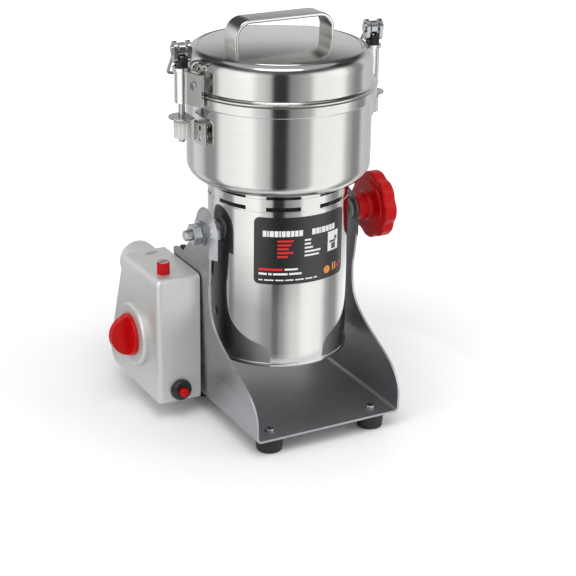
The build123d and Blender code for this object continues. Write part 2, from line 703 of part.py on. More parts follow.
with BuildPart() as field_windings:
    coil = (STATOR_BORE + 4, WINDING_RADIUS)
    turned(ring_points(*coil, STATOR_TOP + SEAT, STATOR_TOP + WINDING_LENGTH))
    turned(ring_points(*coil, STATOR_BOTTOM - WINDING_LENGTH, STATOR_BOTTOM - SEAT))
    fillet(field_windings.edges().filter_by(GeomType.CIRCLE), 2.5)
finish(field_windings, "field_windings")

END_PLATE_BOTTOM = HOUSING_TOP - END_PLATE_THICKNESS
UPPER_SEAT = HOUSING_TOP + 2

with BuildPart() as end_plate:
    plate_radius = HOUSING_RADIUS - HOUSING_WALL - SEAT
    turned(ring_points(UPPER_BORE + 3, plate_radius, END_PLATE_BOTTOM, HOUSING_TOP))
    turned(ring_points(UPPER_RADIUS + RUNNING, UPPER_RADIUS + 4, HOUSING_TOP, BOWL_BOTTOM - SEAT))
    turned(ring_points(UPPER_BORE + 3, UPPER_RADIUS + 1, HOUSING_TOP, UPPER_SEAT))
    with BuildSketch(level(END_PLATE_BOTTOM)) as windows:
        with PolarLocations(BOWL_SCREW_CIRCLE, 4):
            SlotOverall(*END_PLATE_WINDOW, rotation=90)
    extrude(windows.sketch, amount=END_PLATE_THICKNESS, mode=Mode.SUBTRACT)
    # Pillars under the bowl, and pillars down to the stator.
    with BuildSketch(level(END_PLATE_BOTTOM)) as bowl_pillars:
        with PolarLocations(BOWL_SCREW_CIRCLE, 4, start_angle=45):
            Circle(BOWL_PILLAR_RADIUS)
    extrude(bowl_pillars.sketch, amount=BOWL_BOTTOM - SEAT - END_PLATE_BOTTOM)
    with BuildSketch(level(END_PLATE_BOTTOM)) as screw_holes:
        with PolarLocations(BOWL_SCREW_CIRCLE, 4, start_angle=45):
            Circle(BOWL_SCREW_RADIUS + RUNNING)
    extrude(screw_holes.sketch, amount=BOWL_BOTTOM - END_PLATE_BOTTOM, mode=Mode.SUBTRACT)
    with BuildSketch(level(END_PLATE_BOTTOM)) as stator_pillars:
        with PolarLocations(STATOR_PILLAR_CIRCLE, 4, start_angle=45):
            Circle(STATOR_PILLAR_RADIUS)
    extrude(stator_pillars.sketch, amount=STATOR_TOP + SEAT - END_PLATE_BOTTOM)
finish(end_plate, "end_plate")

with BuildPart() as shaft_bearings:
    turned(ring_points(LOWER_BORE + RUNNING, LOWER_RADIUS, LOWER_SEAT + RUNNING, LOWER_SEAT_TOP))
    upper_top = UPPER_SEAT + UPPER_WIDTH
    turned(ring_points(UPPER_BORE + RUNNING, UPPER_RADIUS, UPPER_SEAT + RUNNING, upper_top))
    chamfer(shaft_bearings.edges().filter_by(GeomType.CIRCLE), 0.5)
finish(shaft_bearings, "shaft_bearings")

# ---- Rotor and blades ----

SHAFT_SHOULDER = LOWER_BLADE_HEIGHT - 1.0
SPACER_BOTTOM = LOWER_BLADE_HEIGHT + BLADE_THICKNESS + RUNNING
UPPER_BLADE_HEIGHT = SPACER_BOTTOM + BLADE_SPACER + RUNNING
NUT_BOTTOM = UPPER_BLADE_HEIGHT + BLADE_THICKNESS + RUNNING
SHAFT_END = NUT_BOTTOM + BLADE_NUT_THICKNESS + 2
SHAFT_RADIUS = UPPER_BORE

with BuildPart() as rotor_shaft:
    turned(
        [
            (0, LOWER_SEAT + 1),
            (LOWER_BORE, LOWER_SEAT + 1),
            (LOWER_BORE, LOWER_SEAT_TOP + 1),
            (SHAFT_RADIUS, LOWER_SEAT_TOP + 1),
            (SHAFT_RADIUS, SHAFT_SHOULDER),
            (BLADE_THREAD_RADIUS, SHAFT_SHOULDER),
            (BLADE_THREAD_RADIUS, SHAFT_END),
            (0, SHAFT_END),
        ]
    )
    chamfer(rotor_shaft.edges().group_by(Axis.Z)[-1], 1)
finish(rotor_shaft, "rotor_shaft")

with BuildPart() as rotor_core:
    rotor_radius = STATOR_BORE - ROTOR_AIR_GAP
    with BuildSketch(level(STATOR_BOTTOM + 1)):
        Circle(rotor_radius)
        with PolarLocations(rotor_radius - ROTOR_SLOT_INSET, ROTOR_SLOTS):
            Circle(ROTOR_SLOT_RADIUS, mode=Mode.SUBTRACT)
        with PolarLocations(rotor_radius, ROTOR_SLOTS):
            Rectangle(*ROTOR_SLOT_MOUTH, mode=Mode.SUBTRACT)
        Circle(SHAFT_RADIUS + RUNNING, mode=Mode.SUBTRACT)
    extrude(amount=STATOR_LENGTH - 2)
finish(rotor_core, "rotor_core")

with BuildPart() as commutator:
    commutator_top = COMMUTATOR_BOTTOM + COMMUTATOR_LENGTH
    bore = SHAFT_RADIUS + RUNNING
    turned(ring_points(bore, COMMUTATOR_RADIUS, COMMUTATOR_BOTTOM, commutator_top))
    with BuildSketch(level(COMMUTATOR_BOTTOM)) as gaps:
        with PolarLocations(COMMUTATOR_RADIUS, 2 * ROTOR_SLOTS):
            Rectangle(*COMMUTATOR_GAP)
    extrude(gaps.sketch, amount=COMMUTATOR_LENGTH, mode=Mode.SUBTRACT)
finish(commutator, "commutator")

FAN_BOTTOM = STATOR_TOP + WINDING_LENGTH + 6

with BuildPart() as cooling_fan:
    turned(ring_points(SHAFT_RADIUS + RUNNING, FAN_RADIUS - 4, FAN_BOTTOM, FAN_BOTTOM + FAN_DISC))
    fan_top = FAN_BOTTOM + FAN_HEIGHT
    turned(ring_points(SHAFT_RADIUS + RUNNING, FAN_HUB_RADIUS, FAN_BOTTOM, fan_top))
    with BuildSketch(level(FAN_BOTTOM)) as vanes:
        with PolarLocations(FAN_RADIUS / 2 + 5, FAN_BLADES):
            Rectangle(FAN_RADIUS - 14, FAN_VANE_THICKNESS, rotation=FAN_VANE_TURN)
    extrude(vanes.sketch, amount=FAN_HEIGHT)
finish(cooling_fan, "cooling_fan")


def blade_arms(height, span, sweep):
    """Two curved arms on a hub, as a flat blade at a height."""
    with BuildSketch(level(height)) as blade:
        for turn in (0, 180):
            with BuildLine(Plane.XY.rotated((0, 0, turn))):
                tip = (span, -sweep)
                ThreePointArc((0, BLADE_HUB), (span * 0.52, BLADE_HUB * 0.95), tip)
                ThreePointArc(tip, (span * 0.5, -sweep * 0.42), (0, -BLADE_HUB))
                Line((0, -BLADE_HUB), (0, BLADE_HUB))
            make_face()
        Circle(BLADE_HUB)
        Circle(BLADE_THREAD_RADIUS + RUNNING, mode=Mode.SUBTRACT)
    return blade.sketch


with BuildPart() as lower_blade:
    extrude(blade_arms(LOWER_BLADE_HEIGHT, BLADE_SPAN * 0.97, BLADE_SWEEP), amount=BLADE_THICKNESS)
finish(lower_blade, "lower_blade")

with BuildPart() as upper_blade:
    extrude(blade_arms(UPPER_BLADE_HEIGHT, UPPER_BLADE_SPAN, UPPER_BLADE_SWEEP), amount=BLADE_THICKNESS)
finish(upper_blade, "upper_blade")

with BuildPart() as blade_fasteners:
    thread_hole = BLADE_THREAD_RADIUS + RUNNING
    for bottom, top in (
        (SPACER_BOTTOM, SPACER_BOTTOM + BLADE_SPACER),
        (SHAFT_SHOULDER + RUNNING, LOWER_BLADE_HEIGHT - RUNNING),
    ):
        turned(ring_points(thread_hole, BLADE_SPACER_RADIUS, bottom, top))
    with BuildSketch(level(NUT_BOTTOM)) as hexagon:
        RegularPolygon(BLADE_NUT_ACROSS / 2, 6, major_radius=False)
        Circle(thread_hole, mode=Mode.SUBTRACT)
    extrude(hexagon.sketch, amount=BLADE_NUT_THICKNESS)
finish(blade_fasteners, "blade_fasteners")

# ---- Bowl ----

BOWL_INNER = BOWL_RADIUS - BOWL_WALL
BOWL_FLOOR = BOWL_BOTTOM + BOWL_WALL

with BuildPart() as bowl:
    with BuildSketch(facing(0)) as wall:
        with BuildLine():
            rim_bottom = BOWL_TOP - BOWL_RIM_HEIGHT
            Line((SEAL_RADIUS, BOWL_BOTTOM), (BOWL_RADIUS - BOWL_CORNER, BOWL_BOTTOM))
            RadiusArc(
                (BOWL_RADIUS - BOWL_CORNER, BOWL_BOTTOM),
                (BOWL_RADIUS, BOWL_BOTTOM + BOWL_CORNER),
                -BOWL_CORNER,
            )
            Polyline(
                (BOWL_RADIUS, BOWL_BOTTOM + BOWL_CORNER),
                (BOWL_RADIUS, rim_bottom),
                (BOWL_RIM_RADIUS, rim_bottom + 0.8),
                (BOWL_RIM_RADIUS, BOWL_TOP),
                (BOWL_INNER, BOWL_TOP),
                (BOWL_INNER, BOWL_BOTTOM + BOWL_CORNER),
            )
            RadiusArc(
                (BOWL_INNER, BOWL_BOTTOM + BOWL_CORNER),
                (BOWL_RADIUS - BOWL_CORNER, BOWL_FLOOR),
                BOWL_CORNER - BOWL_WALL,
            )
            Polyline(
                (BOWL_RADIUS - BOWL_CORNER, BOWL_FLOOR),
                (SEAL_RADIUS, BOWL_FLOOR),
                (SEAL_RADIUS, BOWL_BOTTOM),
            )
        make_face()
    revolve(axis=SPIN_AXIS)
    with BuildSketch(level(BOWL_BOTTOM)) as screw_holes:
        with PolarLocations(BOWL_SCREW_CIRCLE, 4, start_angle=45):
            Circle(BOWL_SCREW_RADIUS + SEAT)
    extrude(screw_holes.sketch, amount=BOWL_WALL, mode=Mode.SUBTRACT)
finish(bowl, "bowl")

with BuildPart() as shaft_seal:
    turned(ring_points(SHAFT_RADIUS + RUNNING, SEAL_RADIUS - RUNNING, BOWL_BOTTOM, BOWL_FLOOR))
    lip_width, lip_height = SEAL_LIP
    lip_radius = SEAL_RADIUS + lip_width
    turned(ring_points(SHAFT_RADIUS + RUNNING, lip_radius, BOWL_FLOOR, BOWL_FLOOR + lip_height))
finish(shaft_seal, "shaft_seal")

with BuildPart() as bowl_screws:
    with BuildSketch(level(BOWL_FLOOR)) as heads:
        with PolarLocations(BOWL_SCREW_CIRCLE, 4, start_angle=45):
            Circle(2 * BOWL_SCREW_RADIUS)
    extrude(heads.sketch, amount=BOWL_SCREW_HEAD_HEIGHT)
    fillet(bowl_screws.faces().group_by(Axis.Z)[-1].edges(), 1)
    with BuildSketch(level(BOWL_FLOOR)) as shanks:
        with PolarLocations(BOWL_SCREW_CIRCLE, 4, start_angle=45):
            Circle(BOWL_SCREW_RADIUS)
    extrude(shanks.sketch, amount=END_PLATE_BOTTOM - BOWL_FLOOR)
finish(bowl_screws, "bowl_screws")

with BuildPart() as clamp_brackets:
    for side in (-1, 1):
        root = BOWL_RADIUS - 2
        back = BRACKET_FACE - BRACKET_SHEET
        strip = [
            (BRACKET_FACE, BRACKET_BOTTOM),
            (BRACKET_FACE, BRACKET_BEND),
            (root, BRACKET_ROOT + BRACKET_SHEET),
            (root, BRACKET_ROOT - 0.6 * BRACKET_SHEET),
            (back, BRACKET_BEND - 0.6 * BRACKET_SHEET),
            (back, BRACKET_BOTTOM),
        ]
        face = outline(facing(BRACKET_WIDTH / 2), [(side * x, z) for x, z in strip])
        extrude(face, amount=BRACKET_WIDTH)
    for height in BRACKET_HOLE_HEIGHTS:
        disc(across(-CLAMP_CENTRE), (0, height), BRACKET_HOLE, 2 * CLAMP_CENTRE, Mode.SUBTRACT)
    turned(ring_points(0, BOWL_RADIUS, BOWL_BOTTOM, BOWL_TOP), Mode.SUBTRACT)
finish(clamp_brackets, "clamp_brackets", BRACKET_ANGLE)

# ---- Lid ----

LID_BOTTOM = BOWL_TOP + LID_GAP
FLARE_TOP = LID_BOTTOM + 5


def lid_section(inset):
    """Half of the lid's outer form, moved inwards by an inset."""
    wall = BOWL_RADIUS - inset
    shoulder = (wall, LID_SHOULDER_HEIGHT - inset / 2)
    crease = (LID_CREASE_RADIUS - inset / 2, LID_CREASE_HEIGHT - inset)
    with BuildSketch(facing(0)) as half:
        with BuildLine():
            if inset:
                Line((0, LID_BOTTOM), (wall, LID_BOTTOM))
                Line((wall, LID_BOTTOM), shoulder)
            else:
                Line((0, LID_BOTTOM), (LID_FLANGE_RADIUS, LID_BOTTOM))
                Line((LID_FLANGE_RADIUS, LID_BOTTOM), (LID_FLANGE_RADIUS, LID_BOTTOM + 1.2))
                RadiusArc((LID_FLANGE_RADIUS, LID_BOTTOM + 1.2), (wall, FLARE_TOP), 5)
                Line((wall, FLARE_TOP), shoulder)
            TangentArc(shoulder, crease, tangent=(0, 1))
            groove = (crease[0] - 0.8, crease[1] - LID_CREASE_DEPTH)
            lip = (crease[0] - 1.8, crease[1])
            Polyline(crease, groove, lip)
            Spline(lip, (0, LID_CROWN - inset), tangents=[(-1, 0.12), (-1, 0)])
            Line((0, LID_CROWN - inset), (0, LID_BOTTOM))
        make_face()
    return half.sketch


with BuildPart() as lid_shell:
    revolve(lid_section(0), axis=SPIN_AXIS)
    revolve(lid_section(BOWL_WALL), axis=SPIN_AXIS, mode=Mode.SUBTRACT)
finish(lid_shell, "lid_shell")

with BuildPart() as lid_gasket:
    gasket_inner = BOWL_INNER - GASKET_WIDTH
    turned(
        [
            (gasket_inner, BOWL_TOP - GASKET_SKIRT),
            (BOWL_INNER - FIT, BOWL_TOP - GASKET_SKIRT),
            (BOWL_INNER - FIT, BOWL_TOP + RUNNING),
            (BOWL_INNER + GASKET_LIP, BOWL_TOP + RUNNING),
            (BOWL_INNER + GASKET_LIP, LID_BOTTOM - RUNNING),
            (BOWL_INNER - RUNNING, LID_BOTTOM - RUNNING),
            (BOWL_INNER - RUNNING, LID_BOTTOM + 5),
            (gasket_inner, LID_BOTTOM + 5),
        ]
    )
finish(lid_gasket, "lid_gasket")

with BuildPart() as lid_handle:
    with BuildSketch(facing(HANDLE_WIDTH / 2)):
        with BuildLine():
            outer_line = Polyline(
                (-HANDLE_SPAN / 2, LID_CREASE_HEIGHT - 5),
                (-HANDLE_SPAN / 2, HANDLE_TOP),
                (HANDLE_SPAN / 2, HANDLE_TOP),
                (HANDLE_SPAN / 2, LID_CREASE_HEIGHT - 5),
            )
            fillet(outer_line.vertices().group_by(Axis.Y)[-1], HANDLE_BEND)
            offset(amount=-HANDLE_THICKNESS, side=Side.RIGHT, closed=True)
        make_face()
    extrude(amount=HANDLE_WIDTH)
    fillet(lid_handle.edges().filter_by(Axis.Z), 0.8)
    revolve(lid_section(0), axis=SPIN_AXIS, mode=Mode.SUBTRACT)
finish(lid_handle, "lid_handle")

# The tab runs from the rod to its end in front of the flange. The left clamp is drawn, and
# the right one is the same turned half round.
ROD_PLACE = Vector(-CLAMP_CENTRE, 0)
TAB_END = Vector(-TAB_END_RADIUS, 0).rotate(Axis.Z, TAB_END_ANGLE)
TAB_ALONG = (TAB_END - ROD_PLACE).normalized()
TAB_OUT = TAB_ALONG.rotate(Axis.Z, -90)


def tab_point(along, out):
    """A point beside the left rod, in plan: along the tab, and out from its middle."""
    place = ROD_PLACE + TAB_ALONG * along + TAB_OUT * out
    return (place.X, place.Y)


def tab_plane(height):
    """The outer face of the left tab: its own x runs along the tab, and its normal outwards."""
    x, y = tab_point(0, TAB_THICKNESS / 2)
    return Plane(origin=(AXIS_X + x, AXIS_Y + y, height), x_dir=TAB_ALONG, z_dir=TAB_OUT)


with BuildPart() as clamp_lugs:
    inner_face = -TAB_THICKNESS / 2 - SEAT
    block = [
        tab_point(CLAMP_SCREW_PLACE - LUG_HALF, inner_face),
        tab_point(CLAMP_SCREW_PLACE + LUG_HALF, inner_face),
        tab_point(CLAMP_SCREW_PLACE + LUG_HALF, inner_face - LUG_LENGTH),
        tab_point(CLAMP_SCREW_PLACE - LUG_HALF, inner_face - LUG_LENGTH),
    ]
    extrude(outline(level(CLAMP_SCREW_HEIGHT - LUG_HEIGHT / 3), block), amount=LUG_HEIGHT)
    # The keeper eye stands on the lid's shoulder.
    with BuildSketch(facing(EYE_HALF)) as eye:
        eye_radius, eye_height = EYE_PLACE
        with Locations((-eye_radius, eye_height)):
            Circle(EYE_RADIUS)
        with Locations((-eye_radius + EYE_RADIUS, eye_height - EYE_RADIUS / 2)):
            Rectangle(2 * EYE_RADIUS, EYE_RADIUS)
        with Locations((-eye_radius, eye_height)):
            Circle(EYE_HOLE, mode=Mode.SUBTRACT)
    extrude(eye.sketch.rotate(SPIN_AXIS, EYE_ANGLE), amount=2 * EYE_HALF)
    revolve(lid_section(0), axis=SPIN_AXIS, mode=Mode.SUBTRACT)
    disc(
        tab_plane(CLAMP_SCREW_HEIGHT),
        (CLAMP_SCREW_PLACE, 0),
        CLAMP_SCREW_RADIUS + RUNNING,
        -TAB_THICKNESS - SEAT - CLAMP_SCREW_GRIP,
        Mode.SUBTRACT,
    )
    add(clamp_lugs.part.rotate(SPIN_AXIS, 180))
finish(clamp_lugs, "clamp_lugs")

# ---- Lid clamps ----

COLLAR_TOP_HEIGHT = SLEEVE_TOP + COLLAR_HEIGHT


def rod_plane(side, height):
    """A level plane centred on a clamp's rod."""
    return Plane((AXIS_X + side * CLAMP_CENTRE, AXIS_Y, height))


def lever_frame(side, turn):
    """The plane of a lever's cheeks: origin at the rod's eye, normal along its pin."""
    along = (cos(radians(turn)), sin(radians(turn)), 0)
    backwards = (-sin(radians(turn)), cos(radians(turn)), 0)
    return Plane(
        origin=(AXIS_X + side * CLAMP_CENTRE, AXIS_Y, ROD_EYE_HEIGHT),
        x_dir=backwards,
        z_dir=along,
    )


def clamp(side, name, turn):
    """Writes the seven pieces of one lid clamp."""
    half_turn = 180 if side > 0 else 0
    rod_hole = ROD_RADIUS + RUNNING
    with BuildPart() as sleeve:
        tab = [
            tab_point(0, TAB_THICKNESS / 2),
            tab_point((TAB_END - ROD_PLACE).length, TAB_THICKNESS / 2),
            tab_point((TAB_END - ROD_PLACE).length, -TAB_THICKNESS / 2),
            tab_point(0, -TAB_THICKNESS / 2),
        ]
        extrude(outline(level(SLEEVE_BOTTOM), tab), amount=SLEEVE_TOP - SLEEVE_BOTTOM)
        disc(rod_plane(-1, SLEEVE_BOTTOM), (0, 0), SLEEVE_RADIUS, SLEEVE_TOP - SLEEVE_BOTTOM)
        disc(rod_plane(-1, SLEEVE_TOP), (0, 0), COLLAR_RADIUS, COLLAR_HEIGHT)
        disc(rod_plane(-1, SLEEVE_BOTTOM), (0, 0), rod_hole, THROUGH, Mode.SUBTRACT)
        disc(
            tab_plane(CLAMP_SCREW_HEIGHT),
            (CLAMP_SCREW_PLACE, 0),
            CLAMP_SCREW_RADIUS + RUNNING,
            -2 * TAB_THICKNESS,
            Mode.SUBTRACT,
        )
    finish(sleeve, f"clamp_sleeve_{name}", half_turn)

    with BuildPart() as screw:
        place = (CLAMP_SCREW_PLACE, 0)
        face = tab_plane(CLAMP_SCREW_HEIGHT).offset(RUNNING)
        disc(face, place, CLAMP_SCREW_HEAD, CLAMP_SCREW_HEAD_HEIGHT)
        head_rim = screw.edges().filter_by(GeomType.CIRCLE).sort_by(lambda edge: -edge.length)[:2]
        farthest = head_rim.sort_by_distance((AXIS_X, AXIS_Y, CLAMP_SCREW_HEIGHT))[-1]
        fillet(farthest, 0.8)
        disc(face, place, CLAMP_SCREW_RADIUS, -TAB_THICKNESS - CLAMP_SCREW_GRIP)
        slot_depth = CLAMP_SCREW_SLOT[1]
        with BuildSketch(face.offset(CLAMP_SCREW_HEAD_HEIGHT - slot_depth)) as cross:
            with Locations(place):
                for quarter in (0, 90):
                    Rectangle(*CLAMP_SCREW_SLOT, rotation=CLAMP_SCREW_SLOT_TURN + quarter)
        extrude(cross.sketch, amount=slot_depth, mode=Mode.SUBTRACT)
    finish(screw, f"clamp_screw_{name}", half_turn)

    with BuildPart() as saddle:
        base = rod_plane(side, COLLAR_TOP_HEIGHT + RUNNING)
        disc(base, (0, 0), COLLAR_RADIUS - 0.4, SADDLE_HEIGHT)
        cam = lever_frame(side, turn)
        # The cheeks swing past its flat sides, and the rod's eye turns in its middle.
        for flat in (-1, 1):
            disc(
                cam.offset(flat * (CHEEK_INNER - SEAT)),
                (0, 0),
                2 * CHEEK_RADIUS,
                flat * CHEEK_THICKNESS * 2,
                Mode.SUBTRACT,
            )
        disc(cam.offset(-THROUGH / 2), (0, 0), ROD_EYE_RADIUS + 2 * FIT, THROUGH, Mode.SUBTRACT)
        disc(rod_plane(side, COLLAR_TOP_HEIGHT), (0, 0), rod_hole, THROUGH, Mode.SUBTRACT)
    finish(saddle, f"clamp_saddle_{name}")

    with BuildPart() as rod:
        disc(rod_plane(side, ROD_END), (0, 0), ROD_RADIUS, ROD_EYE_HEIGHT - ROD_END)
        chamfer(rod.edges().group_by(Axis.Z)[0], 0.8)
        eye_plane = lever_frame(side, turn)
        disc(eye_plane.offset(-ROD_EYE_HALF), (0, 0), ROD_EYE_RADIUS, 2 * ROD_EYE_HALF)
        pin_hole = LEVER_PIN_RADIUS + RUNNING
        disc(eye_plane.offset(-THROUGH / 2), (0, 0), pin_hole, THROUGH, Mode.SUBTRACT)
    finish(rod, f"clamp_rod_{name}")

    with BuildPart() as lever:
        cheek_plane = lever_frame(side, turn)
        cheek_middle = CHEEK_INNER + CHEEK_THICKNESS / 2
        for cheek_side in (-1, 1):
            face = cheek_plane.offset(cheek_side * CHEEK_INNER)
            with BuildSketch(face) as cheek:
                Circle(CHEEK_RADIUS)
                with Locations((0, -CHEEK_LOBE)):
                    Circle(CHEEK_LOBE_RADIUS)
                make_hull()
            extrude(cheek.sketch, amount=cheek_side * CHEEK_THICKNESS)
        pin_half = CHEEK_INNER + CHEEK_THICKNESS
        disc(cheek_plane.offset(-pin_half), (0, 0), LEVER_PIN_RADIUS, 2 * pin_half)
        for end in (-1, 1):
            head = end * LEVER_PIN_HEAD_HEIGHT
            disc(cheek_plane.offset(end * pin_half), (0, 0), LEVER_PIN_HEAD, head)
        # The wire bail: two legs joined by a bend.
        down = radians(LEVER_DROP)
        reach = (cos(down), -sin(down))
        wire_plane = Plane(
            origin=cheek_plane.origin,
            x_dir=cheek_plane.x_dir * reach[0] + Vector(0, 0, 1) * reach[1],
            z_dir=cheek_plane.x_dir * -reach[1] + Vector(0, 0, 1) * reach[0],
        )
        with BuildLine(wire_plane) as bail:
            FilletPolyline(
                (CHEEK_RADIUS - 3, cheek_middle),
                (LEVER_WIRE_LENGTH, cheek_middle),
                (LEVER_WIRE_LENGTH, -cheek_middle),
                (CHEEK_RADIUS - 3, -cheek_middle),
                radius=LEVER_WIRE_BEND,
            )
        with BuildSketch(Plane(origin=bail.wire() @ 0, z_dir=bail.wire() % 0)) as wire_section:
            Circle(LEVER_WIRE_RADIUS)
        sweep(wire_section.sketch, path=bail.wire())
    finish(lever, f"clamp_lever_{name}")

    with BuildPart() as washer:
        disc(rod_plane(side, DISC_TOP), (0, 0), DISC_RADIUS, -DISC_THICKNESS)
        disc(rod_plane(side, DISC_TOP), (0, 0), rod_hole, -DISC_THICKNESS, Mode.SUBTRACT)
        # A flat on its inner side passes the bowl's rim as the lid lifts.
        with BuildSketch(rod_plane(side, DISC_TOP)) as flat:
            with Locations((-side * (DISC_FLAT + DISC_RADIUS), 0)):
                Rectangle(2 * DISC_RADIUS, 2 * DISC_RADIUS)
        extrude(flat.sketch, amount=-DISC_THICKNESS, mode=Mode.SUBTRACT)
    finish(washer, f"clamp_washer_{name}")

    with BuildPart() as nut:
        with BuildSketch(rod_plane(side, CLAMP_NUT_BOTTOM)) as knurl:
            Circle(CLAMP_NUT_RADIUS)
            with PolarLocations(CLAMP_NUT_RADIUS + CLAMP_NUT_GROOVE / 2, CLAMP_NUT_GROOVES):
                Circle(CLAMP_NUT_GROOVE, mode=Mode.SUBTRACT)
            Circle(rod_hole, mode=Mode.SUBTRACT)
        extrude(knurl.sketch, amount=CLAMP_NUT_TOP - CLAMP_NUT_BOTTOM - 1)
        neck = (rod_plane(side, CLAMP_NUT_TOP), (0, 0))
        disc(*neck, CLAMP_NUT_NECK, DISC_TOP - DISC_THICKNESS - SEAT - CLAMP_NUT_TOP)
        disc(*neck, CLAMP_NUT_NECK, -1.5)
        disc(*neck, rod_hole, THROUGH, Mode.SUBTRACT)
        disc(*neck, rod_hole, -THROUGH, Mode.SUBTRACT)
    finish(nut, f"clamp_nut_{name}")


clamp(-1, "left", LEFT_CLAMP_TURN)
clamp(1, "right", RIGHT_CLAMP_TURN)

# ---- Control box ----


def box_profile(inset):
    """The box's side view, moved inwards by an inset."""
    with BuildSketch(across(BOX_OUTER)) as profile:
        with BuildLine():
            Polyline(
                (BOX_FRONT, BOX_BOTTOM),
                (BOX_FRONT, BOX_TOP),
                (BOX_TOP_BACK, BOX_TOP),
                (BOX_BOTTOM_BACK, BOX_BOTTOM),
                close=True,
            )
        make_face()
        # In this sketch x runs from front to back.
        *small_corners, back_corner = profile.vertices().sort_by(Axis.X)
        fillet(small_corners, BOX_CORNER)
        fillet(profile.vertices().sort_by(Axis.X)[-1], BOX_BACK_CORNER)
        if inset:
            offset(amount=-inset)
    return profile.sketch


BOX_DEPTH = BOX_INNER - BOX_OUTER

with BuildPart() as switch_box:
    extrude(box_profile(0), amount=BOX_DEPTH)
    fillet(switch_box.faces().sort_by(Axis.X)[0].edges(), BOX_EDGE)
    disc(facing(ENTRY_END), ENTRY_CENTRE, ENTRY_RADIUS, ENTRY_END - BOX_TOP_BACK + 12)
    entry_end = switch_box.faces().filter_by(Axis.Y).sort_by(Axis.Y)[-1]
    fillet(entry_end.edges(), 3)
    disc(across(BOX_OUTER), TIMER_PLACE, TIMER_BOSS_RADIUS, -TIMER_BOSS_HEIGHT)
    fillet(switch_box.faces().sort_by(Axis.X)[0].edges(), 3)
    pocket = box_profile(BOX_WALL).moved(Location((BOX_WALL, 0, 0)))
    extrude(pocket, amount=BOX_DEPTH, mode=Mode.SUBTRACT)
    disc(
        facing(ENTRY_END - BOX_WALL),
        ENTRY_CENTRE,
        ENTRY_RADIUS - BOX_WALL,
        ENTRY_END - BOX_TOP_BACK,
        Mode.SUBTRACT,
    )
    # The entry's boss ends flush with the open side.
    disc(across(BOX_INNER), (BOX_TOP_BACK, BOX_TOP), THROUGH, ENTRY_RADIUS, Mode.SUBTRACT)
    for place in BOX_SCREW_PLACES:
        boss_end = -arm_half(place[1]) - FIT
        disc(across(BOX_OUTER + 1), place, BOX_BOSS_RADIUS, boss_end - BOX_OUTER - 1)
        screw_room = -BOX_SCREW_DEPTH - 2
        disc(across(boss_end), place, BOX_SCREW_RADIUS + RUNNING, screw_room, Mode.SUBTRACT)
    disc(facing(ENTRY_END + 1), ENTRY_CENTRE, GLAND_RADIUS + SEAT, 6, Mode.SUBTRACT)
    disc(across(BOX_OUTER + 10), TIMER_PLACE, TIMER_BUSH_RADIUS + SEAT, -30, Mode.SUBTRACT)
    disc(level(BOX_TOP + 5), FUSE_PLACE, FUSE_NECK_RADIUS + SEAT, -12, Mode.SUBTRACT)
    disc(facing(BOX_FRONT + 8), OVERLOAD_PLACE, OVERLOAD_NECK + SEAT, 12, Mode.SUBTRACT)
finish(switch_box, "switch_box")

with BuildPart() as box_cover:
    cover = box_profile(BOX_WALL + SEAT).moved(Location((BOX_DEPTH - COVER_SHEET, 0, 0)))
    extrude(cover, amount=COVER_SHEET)
    for place in BOX_SCREW_PLACES:
        disc(across(BOX_OUTER), place, BOX_BOSS_RADIUS + SEAT, THROUGH, Mode.SUBTRACT)
    disc(across(BOX_OUTER), GROMMET_PLACE, GROMMET_RADIUS + SEAT, THROUGH, Mode.SUBTRACT)
finish(box_cover, "box_cover")

with BuildPart() as box_screws:
    for place in BOX_SCREW_PLACES:
        arm_inside = -arm_half(place[1]) + SHEET + 0.15
        disc(across(arm_inside), place, BOX_SCREW_HEAD, BOX_SCREW_HEAD_HEIGHT)
        disc(across(arm_inside), place, BOX_SCREW_RADIUS, -SHEET - BOX_SCREW_DEPTH)
finish(box_screws, "box_screws")

with BuildPart() as cord_gland:
    disc(facing(ENTRY_END + SEAT), ENTRY_CENTRE, GLAND_FLANGE, -2)
    disc(facing(ENTRY_END + SEAT), ENTRY_CENTRE, GLAND_RADIUS, BOX_WALL + 4)
    disc(facing(ENTRY_END + 10), ENTRY_CENTRE, GLAND_BORE, 30, Mode.SUBTRACT)
finish(cord_gland, "cord_gland")

with BuildPart() as lead_grommet:
    flange_face = -arm_half(GROMMET_PLACE[1] - GROMMET_FLANGE_LENGTH / 2) + SHEET + SEAT
    with BuildSketch(across(flange_face)) as flange:
        with Locations((GROMMET_PLACE[0], GROMMET_PLACE[1] + GROMMET_RISE)):
            SlotOverall(GROMMET_FLANGE_LENGTH, 2 * GROMMET_FLANGE_RADIUS, rotation=90)
    extrude(flange.sketch, amount=GROMMET_FLANGE)
    fillet(lead_grommet.faces().sort_by(Axis.X)[-1].edges(), 1)
    sleeve_length = flange_face - BOX_INNER + COVER_SHEET + 2
    disc(across(flange_face + 1), GROMMET_PLACE, GROMMET_RADIUS, -sleeve_length - 1)
    disc(across(-THROUGH), GROMMET_PLACE, GROMMET_RADIUS - GROMMET_WALL, THROUGH, Mode.SUBTRACT)
finish(lead_grommet, "lead_grommet")

# ---- Timer ----

TIMER_FACE = BOX_OUTER - TIMER_BOSS_HEIGHT

with BuildPart() as timer_unit:
    block_y, block_z, block_x = TIMER_BLOCK
    block_face = BOX_OUTER + BOX_WALL + SEAT
    with BuildSketch(across(block_face)) as block:
        with Locations(TIMER_PLACE):
            RectangleRounded(block_y, block_z, 3)
    extrude(block.sketch, amount=block_x)
    disc(across(block_face), TIMER_PLACE, TIMER_BUSH_RADIUS, TIMER_FACE - block_face)
    shaft_hole = TIMER_SHAFT_RADIUS + RUNNING
    disc(across(TIMER_FACE - 1), TIMER_PLACE, shaft_hole, 18, Mode.SUBTRACT)
finish(timer_unit, "timer_unit")

